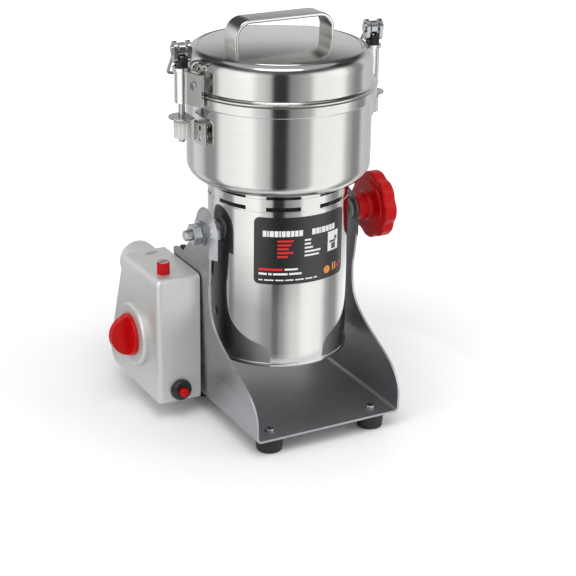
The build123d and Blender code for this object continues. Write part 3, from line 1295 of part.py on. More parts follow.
SHAFT_TIP = TIMER_FACE - FIT - TIMER_KNOB_DISC - TIMER_SHAFT_IN_KNOB

with BuildPart() as timer_shaft:
    shaft_length = TIMER_FACE + TIMER_SHAFT_IN_UNIT - SHAFT_TIP
    disc(across(SHAFT_TIP), TIMER_PLACE, TIMER_SHAFT_RADIUS, shaft_length)
finish(timer_shaft, "timer_shaft")

with BuildPart() as timer_knob:
    knob_face = TIMER_FACE - FIT
    timer_y, timer_z = TIMER_PLACE
    disc(across(knob_face), TIMER_PLACE, TIMER_KNOB_RADIUS, -TIMER_KNOB_DISC)
    fillet(timer_knob.faces().sort_by(Axis.X)[0].edges(), 1.5)
    # The half-moon grip across the disc.
    with BuildSketch(facing(timer_y + TIMER_FIN / 2)) as fin:
        with Locations((knob_face, timer_z)):
            Circle(TIMER_KNOB_RADIUS - 0.4)
        with Locations((knob_face + TIMER_KNOB_RADIUS, timer_z)):
            Rectangle(2 * TIMER_KNOB_RADIUS, 3 * TIMER_KNOB_RADIUS, mode=Mode.SUBTRACT)
    extrude(fin.sketch, amount=TIMER_FIN)
    shaft_room = TIMER_SHAFT_RADIUS + RUNNING
    disc(across(knob_face + 1), TIMER_PLACE, shaft_room, -TIMER_KNOB_DISC - 7.2, Mode.SUBTRACT)
finish(timer_knob, "timer_knob")

# ---- Fuse ----

with BuildPart() as fuse_holder:
    inside_top = BOX_TOP - BOX_WALL - SEAT
    disc(level(inside_top), FUSE_PLACE, FUSE_BODY_RADIUS, -FUSE_BODY_LENGTH)
    disc(level(inside_top), FUSE_PLACE, FUSE_NECK_RADIUS, BOX_WALL + 5)
    disc(level(BOX_TOP + 10), FUSE_PLACE, FUSE_BORE, -FUSE_BODY_LENGTH, Mode.SUBTRACT)
finish(fuse_holder, "fuse_holder")

with BuildPart() as fuse_cap:
    with BuildSketch(level(BOX_TOP + FIT)) as knurled:
        with Locations(FUSE_PLACE):
            Circle(FUSE_CAP_RADIUS)
            with PolarLocations(FUSE_CAP_RADIUS + FIT, FUSE_CAP_GROOVES):
                Circle(FUSE_CAP_GROOVE, mode=Mode.SUBTRACT)
    extrude(knurled.sketch, amount=FUSE_CAP_HEIGHT)
    neck_room = FUSE_NECK_RADIUS + RUNNING
    disc(level(BOX_TOP), FUSE_PLACE, neck_room, 6, Mode.SUBTRACT)
    with BuildSketch(level(BOX_TOP + FIT + FUSE_CAP_HEIGHT)) as slot:
        with Locations(FUSE_PLACE):
            Rectangle(2 * FUSE_CAP_RADIUS, FUSE_CAP_SLOT[0], rotation=FUSE_CAP_SLOT_TURN)
    extrude(slot.sketch, amount=-FUSE_CAP_SLOT[1], mode=Mode.SUBTRACT)
finish(fuse_cap, "fuse_cap")

# ---- Overload protector ----

with BuildPart() as overload_protector:
    disc(facing(BOX_FRONT - SEAT), OVERLOAD_PLACE, OVERLOAD_DOME_RADIUS, OVERLOAD_DOME)
    fillet(overload_protector.faces().sort_by(Axis.Y)[0].edges(), OVERLOAD_DOME * 0.6)
    disc(facing(BOX_FRONT), OVERLOAD_PLACE, OVERLOAD_NECK, -BOX_WALL - 1)
    disc(facing(BOX_FRONT), OVERLOAD_PLACE, OVERLOAD_NECK, SEAT + 1)
    disc(
        facing(BOX_FRONT + BOX_WALL + SEAT),
        OVERLOAD_PLACE,
        OVERLOAD_DOME_RADIUS - 1.5,
        -OVERLOAD_BODY_LENGTH,
    )
    disc(facing(BOX_FRONT + 14), OVERLOAD_PLACE, BUTTON_RADIUS + RUNNING, 40, Mode.SUBTRACT)
finish(overload_protector, "overload_protector")

with BuildPart() as reset_button:
    button_front = BOX_FRONT - SEAT - OVERLOAD_DOME - BUTTON_PROUD
    button_back = BOX_FRONT + 14 - BUTTON_TRAVEL - FIT
    disc(facing(button_front), OVERLOAD_PLACE, BUTTON_RADIUS, button_front - button_back)
    fillet(reset_button.faces().sort_by(Axis.Y)[0].edges(), 1.2)
finish(reset_button, "reset_button")
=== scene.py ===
"""Models and dresses a swing-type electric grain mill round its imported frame."""

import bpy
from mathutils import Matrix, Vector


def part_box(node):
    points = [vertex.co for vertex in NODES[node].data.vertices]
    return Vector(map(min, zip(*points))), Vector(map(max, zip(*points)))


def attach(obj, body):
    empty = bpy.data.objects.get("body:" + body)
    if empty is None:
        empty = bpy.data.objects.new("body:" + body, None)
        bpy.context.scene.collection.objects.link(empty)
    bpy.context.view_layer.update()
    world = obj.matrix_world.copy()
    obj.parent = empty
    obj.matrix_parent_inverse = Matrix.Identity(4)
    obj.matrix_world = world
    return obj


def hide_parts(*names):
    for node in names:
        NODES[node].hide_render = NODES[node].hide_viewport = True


bl_info = {
    "name": "Electric Grain Mill",
    "version": (1, 0, 0),
    "blender": (4, 5, 0),
    "location": "View3D > Sidebar > Grain Mill",
    "description": "Models and dresses a swing-type electric grain mill",
    "category": "Object",
}

from math import atan2, cos, hypot, radians, sin
from types import SimpleNamespace

import bpy
from bpy.props import FloatProperty, FloatVectorProperty, IntProperty, PointerProperty
from mathutils import Matrix, Vector

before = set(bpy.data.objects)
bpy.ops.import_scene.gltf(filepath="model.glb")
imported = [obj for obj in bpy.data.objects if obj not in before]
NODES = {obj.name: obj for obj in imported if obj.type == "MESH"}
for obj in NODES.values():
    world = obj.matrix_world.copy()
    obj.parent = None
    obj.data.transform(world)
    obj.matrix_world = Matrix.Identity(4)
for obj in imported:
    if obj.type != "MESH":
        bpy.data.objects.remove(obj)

MM = 0.001
AXIS = (17.25, -8.05)  # where the motor's axis stands, in millimetres
FOOT = Vector((*AXIS, 0)) * MM  # the point of the floor under it


# ---- Units, colours and properties ----


def linear(code):
    """The linear colour of an sRGB hex code such as "C8102E"."""
    parts = [int(code[i : i + 2], 16) / 255 for i in (0, 2, 4)]
    return tuple(c / 12.92 if c <= 0.04045 else ((c + 0.055) / 1.055) ** 2.4 for c in parts)


def length(name, default, description):
    """A length property, its default in millimetres."""
    return FloatProperty(
        name=name, description=description, default=default * MM, unit="LENGTH", precision=5
    )


def tint(name, code, description):
    """A colour property, its default an sRGB hex code."""
    return FloatVectorProperty(
        name=name, description=description, subtype="COLOR", min=0, max=1, default=linear(code)
    )


def level(name, default, description):
    """A plain number, such as a lamp's power."""
    return FloatProperty(name=name, description=description, default=default, min=0)


def in_mm(group):
    """A group's sizes by name: lengths in millimetres, and counts as they are."""
    sizes = {key: getattr(group, key) for key in group.__annotations__}
    return SimpleNamespace(
        **{key: size if isinstance(size, int) else size / MM for key, size in sizes.items()}
    )


class ShellSizes(bpy.types.PropertyGroup):
    """The turned stainless shells."""

    bowl_radius: length("Bowl radius", 82.0, "Outside radius of the bowl's wall")
    bowl_bottom: length("Bowl bottom", 226.0, "Height of the bowl's underside")
    bowl_top: length("Bowl top", 309.0, "Height of the bowl's rim")
    bowl_corner: length("Bowl corner", 14.0, "Radius of the bowl's lower corner")
    rim_radius: length("Rim radius", 85.7, "Outside radius of the bowl's rim band")
    rim_height: length("Rim height", 9.5, "Height of the bowl's rim band")
    wall: length("Wall", 1.5, "Thickness of the shells")
    lid_bottom: length("Lid bottom", 310.2, "Height of the lid's lower edge")
    flange_radius: length("Flange radius", 86.6, "Outside radius of the lid's flange")
    shoulder: length("Shoulder", 331.0, "Height at which the lid's wall turns in")
    crease_radius: length("Crease radius", 73.0, "Radius of the pressed line round the lid's top")
    crease_height: length("Crease height", 342.8, "Height of that line")
    crown: length("Crown", 345.6, "Height of the lid's middle")
    can_radius: length("Housing radius", 63.4, "Outside radius of the motor housing")
    can_bottom: length("Housing bottom", 62.5, "Height of the housing's lower edge")
    can_top: length("Housing top", 209.3, "Height of the housing's upper edge")
    pivot_height: length("Pivot height", 180.0, "Height of the tilting pivots")
    boss_end: length("Boss end", 68.6, "Distance of the pivot bosses' ends from the motor's axis")
    segments: IntProperty(name="Segments", description="Faces round a shell", default=192)


class HandleSizes(bpy.types.PropertyGroup):
    """The lid's handle, a bent strip."""

    span: length("Span", 97.0, "Outside width over the handle's legs")
    width: length("Width", 22.0, "Width of the strip")
    thickness: length("Thickness", 3.6, "Thickness of the strip")
    bend: length("Bend", 15.0, "Outside radius of the bends")
    top: length("Top", 369.5, "Height of the handle's upper face")
    foot: length("Foot", 339.5, "Height at which the legs end inside the lid")


class KnobSizes(bpy.types.PropertyGroup):
    """The lock knob."""

    radius: length("Radius", 32.0, "Radius over the lobes")
    face: length("Face", 109.0, "Distance of the outer face from the motor's axis")
    rim: length("Rim", 13.6, "Thickness of the lobed rim")
    hub_radius: length("Hub radius", 12.0, "Radius of the hub")
    hub_end: length("Hub end", 79.4, "Distance of the hub's inner end from the motor's axis")
    dip: length("Dip", 2.3, "Depth of the grip hollows")
    lobes: IntProperty(name="Lobes", description="Number of lobes", default=8)


class LabelSizes(bpy.types.PropertyGroup):
    """The printed film on the housing."""

    radius: length("Radius", 63.9, "Radius of the print")
    left: level("Left edge", 223.0, "Angle of the film's left edge, in degrees")
    low: length("Lower edge", 142.8, "Height of the film's lower edge")
    ink: length("Ink", 0.05, "Thickness of the print")


class Finishes(bpy.types.PropertyGroup):
    """The colours of the finishes."""

    stainless: tint("Stainless", "C6C5C3", "Polished stainless steel")
    strip: tint("Strip", "D6D5D3", "Satin-polished strip of handle and clamps")
    sheet: tint("Stand sheet", "A8AAAD", "Brushed stainless sheet of the stand")
    # Its darker colour is painted shade on the faces that turn to the motor, and a painted dark
    # reflection on the base's top.
    inner: tint("Sheet's inner side", "9A9B9E", "Mill finish on the inner side of that sheet")
    zinc: tint("Zinc", "ABADAF", "Bright zinc plate on screws, nuts and studs")
    paint: tint("Box paint", "C8C8C6", "Silver paint of the control box")
    red: tint("Red plastic", "B80508", "Moulded red plastic of the knobs")
    black: tint("Black", "121213", "Rubber, phenolic and label black")
    white: tint("White nylon", "C4C4C0", "White nylon of the clamp nuts")


class StageSettings(bpy.types.PropertyGroup):
    """The lamps, floor and surroundings."""

    floor: tint("Floor", "F4F4F5", "Colour of the floor")
    surround: level("Surround", 0.62, "Brightness of the surroundings on the object")
    key: level("Key lamp", 22.0, "Power of the large lamp above, in watts")
    fill: level("Side lamps", 9.0, "Power of the upright lamps at the sides, in watts")


# ---- Making by hand ----

NEW_DOUBLES = 0.004 * MM  # vertices of a new piece nearer than this are one
COPIED_DOUBLES = 0.002 * MM  # and so are those of a copied solid
FLAT = radians(0.5)  # faces of a copied solid that turn by less than this are one
EDGE_ANGLE = 40  # edges that turn by more than this, in degrees, are rounded
SMOOTH_ANGLE = 35  # and those of a new piece that turn by less are shaded smooth
EDGE_SEGMENTS = 2


def deselect():
    """Leaves edit mode with nothing selected."""
    if bpy.context.object and bpy.context.object.mode == "EDIT":
        bpy.ops.object.mode_set(mode="OBJECT")
    bpy.ops.object.select_all(action="DESELECT")


def pick(piece):
    """Selects one piece alone and makes it the active one."""
    deselect()
    piece.select_set(True)
    bpy.context.view_layer.objects.active = piece


def edit(name):
    """Names the active piece and opens it for editing, all of it selected."""
    piece = bpy.context.object
    piece.name = piece.data.name = name
    bpy.ops.object.mode_set(mode="EDIT")
    bpy.ops.mesh.select_all(action="SELECT")
    return piece


def close_shell():
    """Joins doubles and points every face of a closed piece outwards."""
    bpy.ops.mesh.select_all(action="SELECT")
    bpy.ops.mesh.remove_doubles(threshold=NEW_DOUBLES)
    bpy.ops.mesh.normals_make_consistent(inside=False)
    bpy.ops.object.mode_set(mode="OBJECT")


def modify(piece, kind, **settings):
    """Gives a piece a modifier with its settings and applies it."""
    pick(piece)
    modifier = piece.modifiers.new(kind, kind)
    for name, value in settings.items():
        setattr(modifier, name, value)
    bpy.ops.object.modifier_apply(modifier=modifier.name)


def bevel(piece, width, segments):
    """Rounds a piece's sharp edges by a width in millimetres."""
    modify(
        piece,
        "BEVEL",
        width=width * MM,
        segments=segments,
        angle_limit=radians(EDGE_ANGLE),
        harden_normals=True,
    )


def settle(piece, matrix=None):
    """Puts a piece where it belongs and its place into its mesh."""
    pick(piece)
    if matrix is not None:
        piece.matrix_world = matrix @ piece.matrix_world
    bpy.ops.object.transform_apply(location=True, rotation=True, scale=True)


def shade(piece, angle=SMOOTH_ANGLE):
    """Smooths a piece's faces up to an angle, and keeps its large faces flat."""
    pick(piece)
    bpy.ops.object.shade_smooth_by_angle(angle=radians(angle))
    modify(piece, "WEIGHTED_NORMAL", keep_sharp=True)


def turn(name, profile, segments, place=AXIS, closed=True):
    """A turned piece: a ring drawn out through (radius, height) points in millimetres.
    A closed profile comes back to its start, and an open one is capped at both ends."""
    deselect()
    radius, height = profile[0]
    centre = Vector((*place, height)) * MM
    bpy.ops.mesh.primitive_circle_add(vertices=segments, radius=radius * MM, location=centre)
    piece = edit(name)
    for (old, low), (new, high) in zip(profile, profile[1:]):
        rise = (0, 0, (high - low) * MM)
        bpy.ops.mesh.extrude_edges_move(TRANSFORM_OT_translate={"value": rise})
        centre = Vector((*place, high)) * MM
        bpy.ops.transform.resize(value=(new / old, new / old, 1), center_override=centre)
    bpy.ops.mesh.select_mode(type="EDGE")
    bpy.ops.mesh.select_non_manifold()
    if closed:
        bpy.ops.mesh.bridge_edge_loops()
    else:
        bpy.ops.mesh.fill_holes(sides=0)
    close_shell()
    return piece


def sweep(steps, turned, centre, axis):
    """Spins the open piece's selected face round a bend, in degrees."""
    bpy.ops.mesh.spin(steps=steps, angle=-radians(turned), center=centre, axis=axis)


def push(rise):
    """Extrudes the open piece's selected face by a step in millimetres."""
    bpy.ops.mesh.extrude_region_move(TRANSFORM_OT_translate={"value": Vector(rise) * MM})


def refine(node, name, finish, body, width):
    """A piece with softened edges that stands for a CAD node of the same shape."""
    piece = bpy.data.objects.new(name, NODES[node].data.copy())
    bpy.context.scene.collection.objects.link(piece)
    pick(piece)
    edit(name)
    bpy.ops.mesh.remove_doubles(threshold=COPIED_DOUBLES)
    bpy.ops.mesh.dissolve_limited(angle_limit=FLAT)
    bpy.ops.object.mode_set(mode="OBJECT")
    bevel(piece, width, EDGE_SEGMENTS)
    shade(piece, EDGE_ANGLE)
    dress(piece, finish, body, node)


def arc(centre, radius, start, end, steps):
    """Points of an arc in a profile, angles in degrees from level."""
    turns = [radians(start + (end - start) * i / steps) for i in range(steps + 1)]
    return [(centre[0] + radius * cos(a), centre[1] + radius * sin(a)) for a in turns]


def stood(spot, *axes):
    """The place of something at a spot, its own X, Y and Z along three axes."""
    return Matrix.Translation(spot) @ Matrix(axes).transposed().to_4x4()


def beside(height):
    """The places of two turned pieces laid along X at a height in millimetres, the left one
    and the right one, their own +Z pointing out."""
    up = Vector((0, 0, 1))
    spot = FOOT + up * height * MM
    outs = [Vector((side, 0, 0)) for side in (-1, 1)]
    return [stood(spot, out.cross(up), up, out) for out in outs]


def dress(piece, finish, body, *nodes):
    """Gives a new piece its finish, its body and the CAD nodes it stands for."""
    piece.data.materials.clear()
    piece.data.materials.append(bpy.data.materials[finish])
    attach(piece, body)
    if nodes:
        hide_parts(*nodes)


# ---- Finishes ----


def add_node(tree, kind, settings=(), values=(), links=()):
    """Adds a node with its settings and input values, and links its inputs."""
    node = tree.nodes.new(kind)
    for name, value in dict(settings).items():
        setattr(node, name, value)
    for name, value in dict(values).items():
        node.inputs[name].default_value = value
    for name, source in dict(links).items():
        tree.links.new(source, node.inputs[name])
    return node


def finish_of(name, colour, metallic, roughness, **values):
    """A new material with its shader set, and its tree, shader and coordinates."""
    material = bpy.data.materials.new(name)
    material.use_nodes = True
    tree = material.node_tree
    shader = tree.nodes["Principled BSDF"]
    shader.inputs["Base Color"].default_value = (*colour, 1)
    shader.inputs["Metallic"].default_value = metallic
    shader.inputs["Roughness"].default_value = roughness
    for key, value in values.items():
        shader.inputs[key.replace("_", " ")].default_value = value
    place = add_node(tree, "ShaderNodeTexCoord").outputs["Object"]
    return tree, shader, place


NOISE_RANGE = (0.3, 0.7)  # most values of a noise lie between these


def grain(tree, shader, place, scale, height, rough, shades):
    """Fine surface marks: a noise stretched by a scale per millimetre along each axis,
    raised by a height in millimetres, which also moves the roughness between two values
    and the colour between two shares of itself."""
    mapped = add_node(
        tree,
        "ShaderNodeMapping",
        values={"Scale": [s / MM for s in scale]},
        links={"Vector": place},
    )
    noise = add_node(
        tree,
        "ShaderNodeTexNoise",
        values={"Scale": 1.0, "Detail": 3.0, "Roughness": 0.6},
        links={"Vector": mapped.outputs["Vector"]},
    )
    bump = add_node(
        tree,
        "ShaderNodeBump",
        values={"Strength": 1.0, "Distance": height * MM},
        links={"Height": noise.outputs["Fac"]},
    )
    tree.links.new(bump.outputs["Normal"], shader.inputs["Normal"])
    low, high = NOISE_RANGE
    spread = add_node(
        tree,
        "ShaderNodeMapRange",
        values={"From Min": low, "From Max": high, "To Min": rough[0], "To Max": rough[1]},
        links={"Value": noise.outputs["Fac"]},
    )
    tree.links.new(spread.outputs["Result"], shader.inputs["Roughness"])
    colour = shader.inputs["Base Color"].default_value
    tones = add_node(tree, "ShaderNodeValToRGB", links={"Fac": noise.outputs["Fac"]})
    for stop, value, share in zip(tones.color_ramp.elements, NOISE_RANGE, shades):
        stop.position = value
        stop.color = (*[min(1.0, c * share) for c in colour[:3]], 1)
    tree.links.new(tones.outputs["Color"], shader.inputs["Base Color"])


class MILL_OT_finishes(bpy.types.Operator):
    """Makes the materials"""

    bl_idname = "mill.finishes"
    bl_label = "Finishes"

    def execute(self, context):
        look = context.scene.mill_finishes
        for name, (shown, metallic, roughness, *marks) in FINISHES.items():
            colour = getattr(look, shown) if hasattr(look, shown) else linear(shown)
            grain(*finish_of(name, colour, metallic, roughness, **GLOSS.get(name, {})), *marks)
        return {"FINISHED"}


# The finishes: colour, as one of the settings or as an sRGB hex code, metallic, roughness, and
# the marks that grain makes: scale, height, range of roughness and range of colour.
FINISHES = {
    # Spun stainless steel, polished on the lathe: fine rings round it draw reflections out up
    # and down. The rings are 0.4 mm apart, coarser than real ones so that they show.
    "spun_stainless": (
        "stainless", 1, 0.14, (0.004, 0.004, 2.4), 0.0004, (0.11, 0.17), (0.96, 1.03)
    ),
    # Rolled stainless tube, buffed bright: nearly a mirror.
    "buffed_stainless": (
        "stainless", 1, 0.1, (0.02, 0.02, 0.9), 0.0002, (0.06, 0.11), (0.97, 1.02)
    ),
    # Stainless sheet with a directional brushed finish: scratches 0.5 mm apart run from front
    # to back along the sheet.
    "brushed_stainless": ("sheet", 1, 0.38, (2, 0.02, 2), 0.002, (0.34, 0.46), (0.8, 1.15)),
    # The sheet's inner side: a duller, rougher finish, and a darker colour that is painted shade.
    "mill_finish_sheet": ("inner", 1, 0.42, (2, 0.02, 2), 0.002, (0.38, 0.48), (0.85, 1.12)),
    # Satin-polished stainless strip of handle and clamps.
    "satin_strip": ("strip", 1, 0.2, (0.05, 1.5, 1.5), 0.0003, (0.16, 0.24), (0.95, 1.04)),
    # Bright zinc plate: slightly milky reflections.
    "bright_zinc": ("zinc", 1, 0.24, (1.2, 1.2, 1.2), 0.0008, (0.18, 0.28), (0.88, 1.05)),
    # Blackened steel, with lighter rubbed places.
    "blackened_steel": ("232426", 0.7, 0.38, (0.8, 0.8, 0.8), 0.003, (0.3, 0.48), (0.6, 1.5)),
    # Silver lacquer with a fine metal flake, a grain of about half a millimetre.
    "silver_lacquer": ("paint", 0.6, 0.38, (2.2, 2.2, 2.2), 0.0012, (0.33, 0.45), (0.9, 1.08)),
    # Moulded ABS in signal red, glossy, its faint texture about 1 mm across.
    "red_abs": ("red", 0, 0.28, (1, 1, 1), 0.0012, (0.24, 0.34), (0.86, 1.06)),
    # Black rubber: matt and slightly grainy.
    "moulded_rubber": ("black", 0, 0.62, (2.5, 2.5, 2.5), 0.008, (0.55, 0.75), (0.7, 1.6)),
    # Black phenolic moulding: hard and glossy.
    "black_phenolic": ("black", 0, 0.28, (1.5, 1.5, 1.5), 0.001, (0.22, 0.36), (0.7, 1.3)),
    # White nylon, turned: a waxy sheen.
    "turned_nylon": ("white", 0, 0.4, (0.4, 0.4, 2.0), 0.002, (0.34, 0.48), (0.93, 1.0)),
    # Milky silicone of the seals.
    "soft_silicone": ("D8D6D0", 0, 0.5, (1, 1, 1), 0.002, (0.42, 0.58), (0.95, 1.03)),
    # Die-cast aluminium, as cast.
    "die_cast_aluminium": ("A9ABAD", 1, 0.45, (1, 1, 1), 0.015, (0.38, 0.55), (0.85, 1.08)),
    # Stacked electrical steel, each sheet half a millimetre.
    "laminated_steel": ("6F7073", 0.9, 0.5, (0.02, 0.02, 2.0), 0.03, (0.42, 0.6), (0.6, 1.2)),
    # Enamelled copper wire.
    "lacquered_copper": ("A4532A", 0.8, 0.3, (0.3, 0.3, 1.2), 0.1, (0.25, 0.4), (0.7, 1.2)),
    # Machined brass.
    "machined_brass": ("C39B4E", 1, 0.28, (1, 1, 1), 0.003, (0.22, 0.36), (0.9, 1.05)),
    # Pressed carbon of the brushes.
    "pressed_carbon": ("26272A", 0.1, 0.6, (3, 3, 3), 0.01, (0.5, 0.7), (0.8, 1.3)),
    # Ground and hardened steel of shaft and blades.
    "ground_steel": ("BFC1C3", 1, 0.24, (0.5, 3.0, 0.5), 0.003, (0.18, 0.32), (0.88, 1.05)),
    # Printed polyester film, black with a satin face.
    "label_film": ("1B1B1C", 0, 0.3, (0.6, 0.6, 0.6), 0.0005, (0.24, 0.36), (0.85, 1.15)),
    # Screen-printing inks, slightly uneven in coverage.
    "white_ink": ("E4E4E2", 0, 0.4, (1.2, 1.2, 1.2), 0.0004, (0.34, 0.46), (0.88, 1.04)),
    "red_ink": ("D0161C", 0, 0.4, (1.2, 1.2, 1.2), 0.0004, (0.34, 0.46), (0.88, 1.04)),
    "grey_ink": ("4A4B4D", 0, 0.4, (1.2, 1.2, 1.2), 0.0004, (0.34, 0.46), (0.88, 1.04)),
    "amber_ink": ("D98A2B", 0, 0.4, (1.2, 1.2, 1.2), 0.0004, (0.34, 0.46), (0.88, 1.04)),
}
# The red mouldings reflect less than most plastic.
GLOSS = {"red_abs": {"Specular_IOR_Level": 0.18}}


# Which finish each CAD node has.
NODE_FINISHES = {
    "spun_stainless": "bowl lid_shell",
    "buffed_stainless": "motor_housing vent_collar",
    "brushed_stainless": "stand_frame",
    "satin_strip": "lid_handle clamp_brackets clamp_lugs clamp_sleeve_left clamp_sleeve_right "
    "clamp_lever_left clamp_lever_right",
    "bright_zinc": "foot_screws stud_washers stud_nut pivot_stud lock_stud bowl_screws "
    "clamp_screw_left clamp_screw_right clamp_rod_left clamp_rod_right clamp_washer_left "
    "clamp_washer_right box_screws timer_shaft blade_fasteners",
    "blackened_steel": "clamp_saddle_left clamp_saddle_right",
    "silver_lacquer": "switch_box box_cover",
    "red_abs": "lock_knob timer_knob fuse_cap reset_button",
    "moulded_rubber": "rubber_feet lead_grommet cord_gland",
    "black_phenolic": "overload_protector fuse_holder timer_unit",
    "turned_nylon": "clamp_nut_left clamp_nut_right pivot_bushes",
    "soft_silicone": "lid_gasket shaft_seal",
    "die_cast_aluminium": "bottom_cap end_plate cooling_fan",
    "laminated_steel": "stator_core rotor_core",
    "lacquered_copper": "field_windings commutator",
    "machined_brass": "brush_holders",
    "pressed_carbon": "carbon_brushes",
    "ground_steel": "shaft_bearings rotor_shaft lower_blade upper_blade",
    "label_film": "label_plate",
}


class MILL_OT_nodes(bpy.types.Operator):
    """Gives the carried-over solids their finishes"""

    bl_idname = "mill.nodes"
    bl_label = "Solids"

    def execute(self, context):
        for finish, names in NODE_FINISHES.items():
            for name in names.split():
                materials = NODES[name].data.materials
                materials.clear()
                materials.append(bpy.data.materials[finish])
        return {"FINISHED"}


POLE = 0.01  # radius of the closed ends of turned pieces, in millimetres as all below
SHAFT_HOLE = 11
BAND_FOOT = 1.6  # bends of the bowl's rim band: at its foot, at its top and inside
BAND_EDGE = 1.0
BAND_LIP = 0.8


class MILL_OT_bowl(bpy.types.Operator):
    """Turns the bowl"""

    bl_idname = "mill.bowl"
    bl_label = "Bowl"

    def execute(self, context):
        s = in_mm(context.scene.mill_shell)
        radius, bottom, top, corner = s.bowl_radius, s.bowl_bottom, s.bowl_top, s.bowl_corner
        rim, rim_low, inside = s.rim_radius, top - s.rim_height, radius - s.wall
        # A flat bottom, a rounded corner, a straight wall and a pressed rim band.
        profile = [
            (SHAFT_HOLE, bottom),
            *arc((radius - corner, bottom + corner), corner, -90, 0, 14),
            (radius, rim_low),
            *arc((rim - BAND_FOOT, rim_low + BAND_FOOT), BAND_FOOT, -90, 0, 5),
            *arc((rim - BAND_EDGE, top - BAND_EDGE), BAND_EDGE, 0, 90, 5),
            *arc((inside + BAND_LIP, top - BAND_LIP), BAND_LIP, 90, 180, 4),
            *arc((radius - corner, bottom + corner), corner - s.wall, 0, -90, 12),
            (SHAFT_HOLE, bottom + s.wall),
        ]
        bowl = turn("bowl_shell", profile, s.segments)
        shade(bowl)
        dress(bowl, "spun_stainless", "motor_unit", "bowl")
        return {"FINISHED"}


FLANGE_BEND = 0.5
FLANGE_EDGE = 1.4  # height of the lid's flange, and of the flare above it
FLARE_RISE = 3.6
CREASE = ((0.15, -0.05), (-0.3, -0.6), (-0.9, -0.9), (-1.4, -0.55))  # the pressed line's groove
CREASE_WIDTH = 1.8
CROWN_OFFSET = 0.5  # how far the crown's inner rings lie inside the outer ones
SHOULDER_STEPS = 16
CROWN_STEPS = 16
FLARE_STEPS = 6


class MILL_OT_lid(bpy.types.Operator):
    """Turns the lid"""

    bl_idname = "mill.lid"
    bl_label = "Lid"

    def execute(self, context):
        s = in_mm(context.scene.mill_shell)
        radius, wall, low, flange = s.bowl_radius, s.wall, s.lid_bottom, s.flange_radius
        crease, crease_height = s.crease_radius, s.crease_height
        # A flange that flares out of the wall.
        flare = [
            (flange - (flange - radius) * sin(t), low + FLANGE_EDGE + FLARE_RISE * (1 - cos(t)))
            for t in [radians(90 * i / FLARE_STEPS) for i in range(1, FLARE_STEPS + 1)]
        ]
        # A round shoulder up to the pressed line.
        rise = crease_height - s.shoulder
        shoulder = [
            (radius - (radius - crease) * (1 - cos(t)), s.shoulder + rise * sin(t))
            for t in [radians(90 * i / SHOULDER_STEPS) for i in range(SHOULDER_STEPS)]
        ]
        # A shallow crown inside it.
        span = crease - CREASE_WIDTH
        crown = [
            (r, s.crown - (s.crown - crease_height) * (r / span) ** 2)
            for r in [span * (1 - i / CROWN_STEPS) for i in range(CROWN_STEPS)]
        ]
        profile = [
            (radius - wall, low),
            *arc((flange - FLANGE_BEND, low + FLANGE_BEND), FLANGE_BEND, -90, 0, 3),
            (flange, low + FLANGE_EDGE),
            *flare,
            *shoulder,
            *[(crease + out, crease_height + up) for out, up in CREASE],
            *crown,
            (POLE, s.crown),
            (POLE, s.crown - wall),
            *[(r - CROWN_OFFSET, h - wall) for r, h in reversed(crown)],
            *[(r - wall, h - wall) for r, h in reversed(shoulder)],
        ]
        lid = turn("lid_dome", profile, s.segments)
        shade(lid)
        dress(lid, "spun_stainless", "lid", "lid_shell")
        return {"FINISHED"}


CAN_WALL = 1.2
CAN_FOOT = 0.4  # how far the bead is rolled in at its foot
CAN_TOP_BREAK = (0.4, 0.5)  # the chamfer at the top, across and down
BEAD_OUT = 0.8  # how far the bead stands out from the housing
BEAD_BEND = 1.0
BEAD_SIDE = 2.6  # heights of the bead's upright side, its upper bend and its end
BEAD_SHOULDER = 3.0
BEAD_END = 4.2
BOSS_BORE = 4.2
BOSS_RADIUS = 11
BOSS_BREAK = 0.8
BOSS_SUNK = 0.6
BOSS_SEGMENTS = 48


class MILL_OT_housing(bpy.types.Operator):
    """Turns the motor housing and its bosses"""

    bl_idname = "mill.housing"
    bl_label = "Motor housing"

    def execute(self, context):
        s = in_mm(context.scene.mill_shell)
        radius, bottom, top = s.can_radius, s.can_bottom, s.can_top
        # A plain tube with a rolled bead at the bottom.
        break_in, break_down = CAN_TOP_BREAK
        profile = [
            (radius - CAN_WALL, bottom + CAN_FOOT),
            *arc((radius + BEAD_OUT - BEAD_BEND, bottom + BEAD_BEND), BEAD_BEND, -150, 0, 6),
            (radius + BEAD_OUT, bottom + BEAD_SIDE),
            *arc((radius, bottom + BEAD_SHOULDER), BEAD_OUT, 10, 90, 5)[1:-1],
            (radius, bottom + BEAD_END),
            (radius, top - break_down),
            (radius - break_in, top),
            (radius - CAN_WALL, top),
        ]
        can = turn("motor_can", profile, s.segments)
        shade(can)
        dress(can, "buffed_stainless", "motor_unit", "motor_housing")
        # The welded bosses that the pivot studs screw into.
        profile = [
            (BOSS_BORE, radius - BOSS_SUNK),
            (BOSS_RADIUS, radius - BOSS_SUNK),
            (BOSS_RADIUS, s.boss_end - BOSS_BREAK),
            (BOSS_RADIUS - BOSS_BREAK, s.boss_end),
            (BOSS_BORE, s.boss_end),
        ]
        for name, place in zip(("boss_left", "boss_right"), beside(s.pivot_height)):
            boss = turn(name, profile, BOSS_SEGMENTS, place=(0, 0))
            settle(boss, place)
            shade(boss)
            dress(boss, "bright_zinc", "motor_unit")
        return {"FINISHED"}


HANDLE_BREAK = 1.2
HANDLE_STEPS = 14


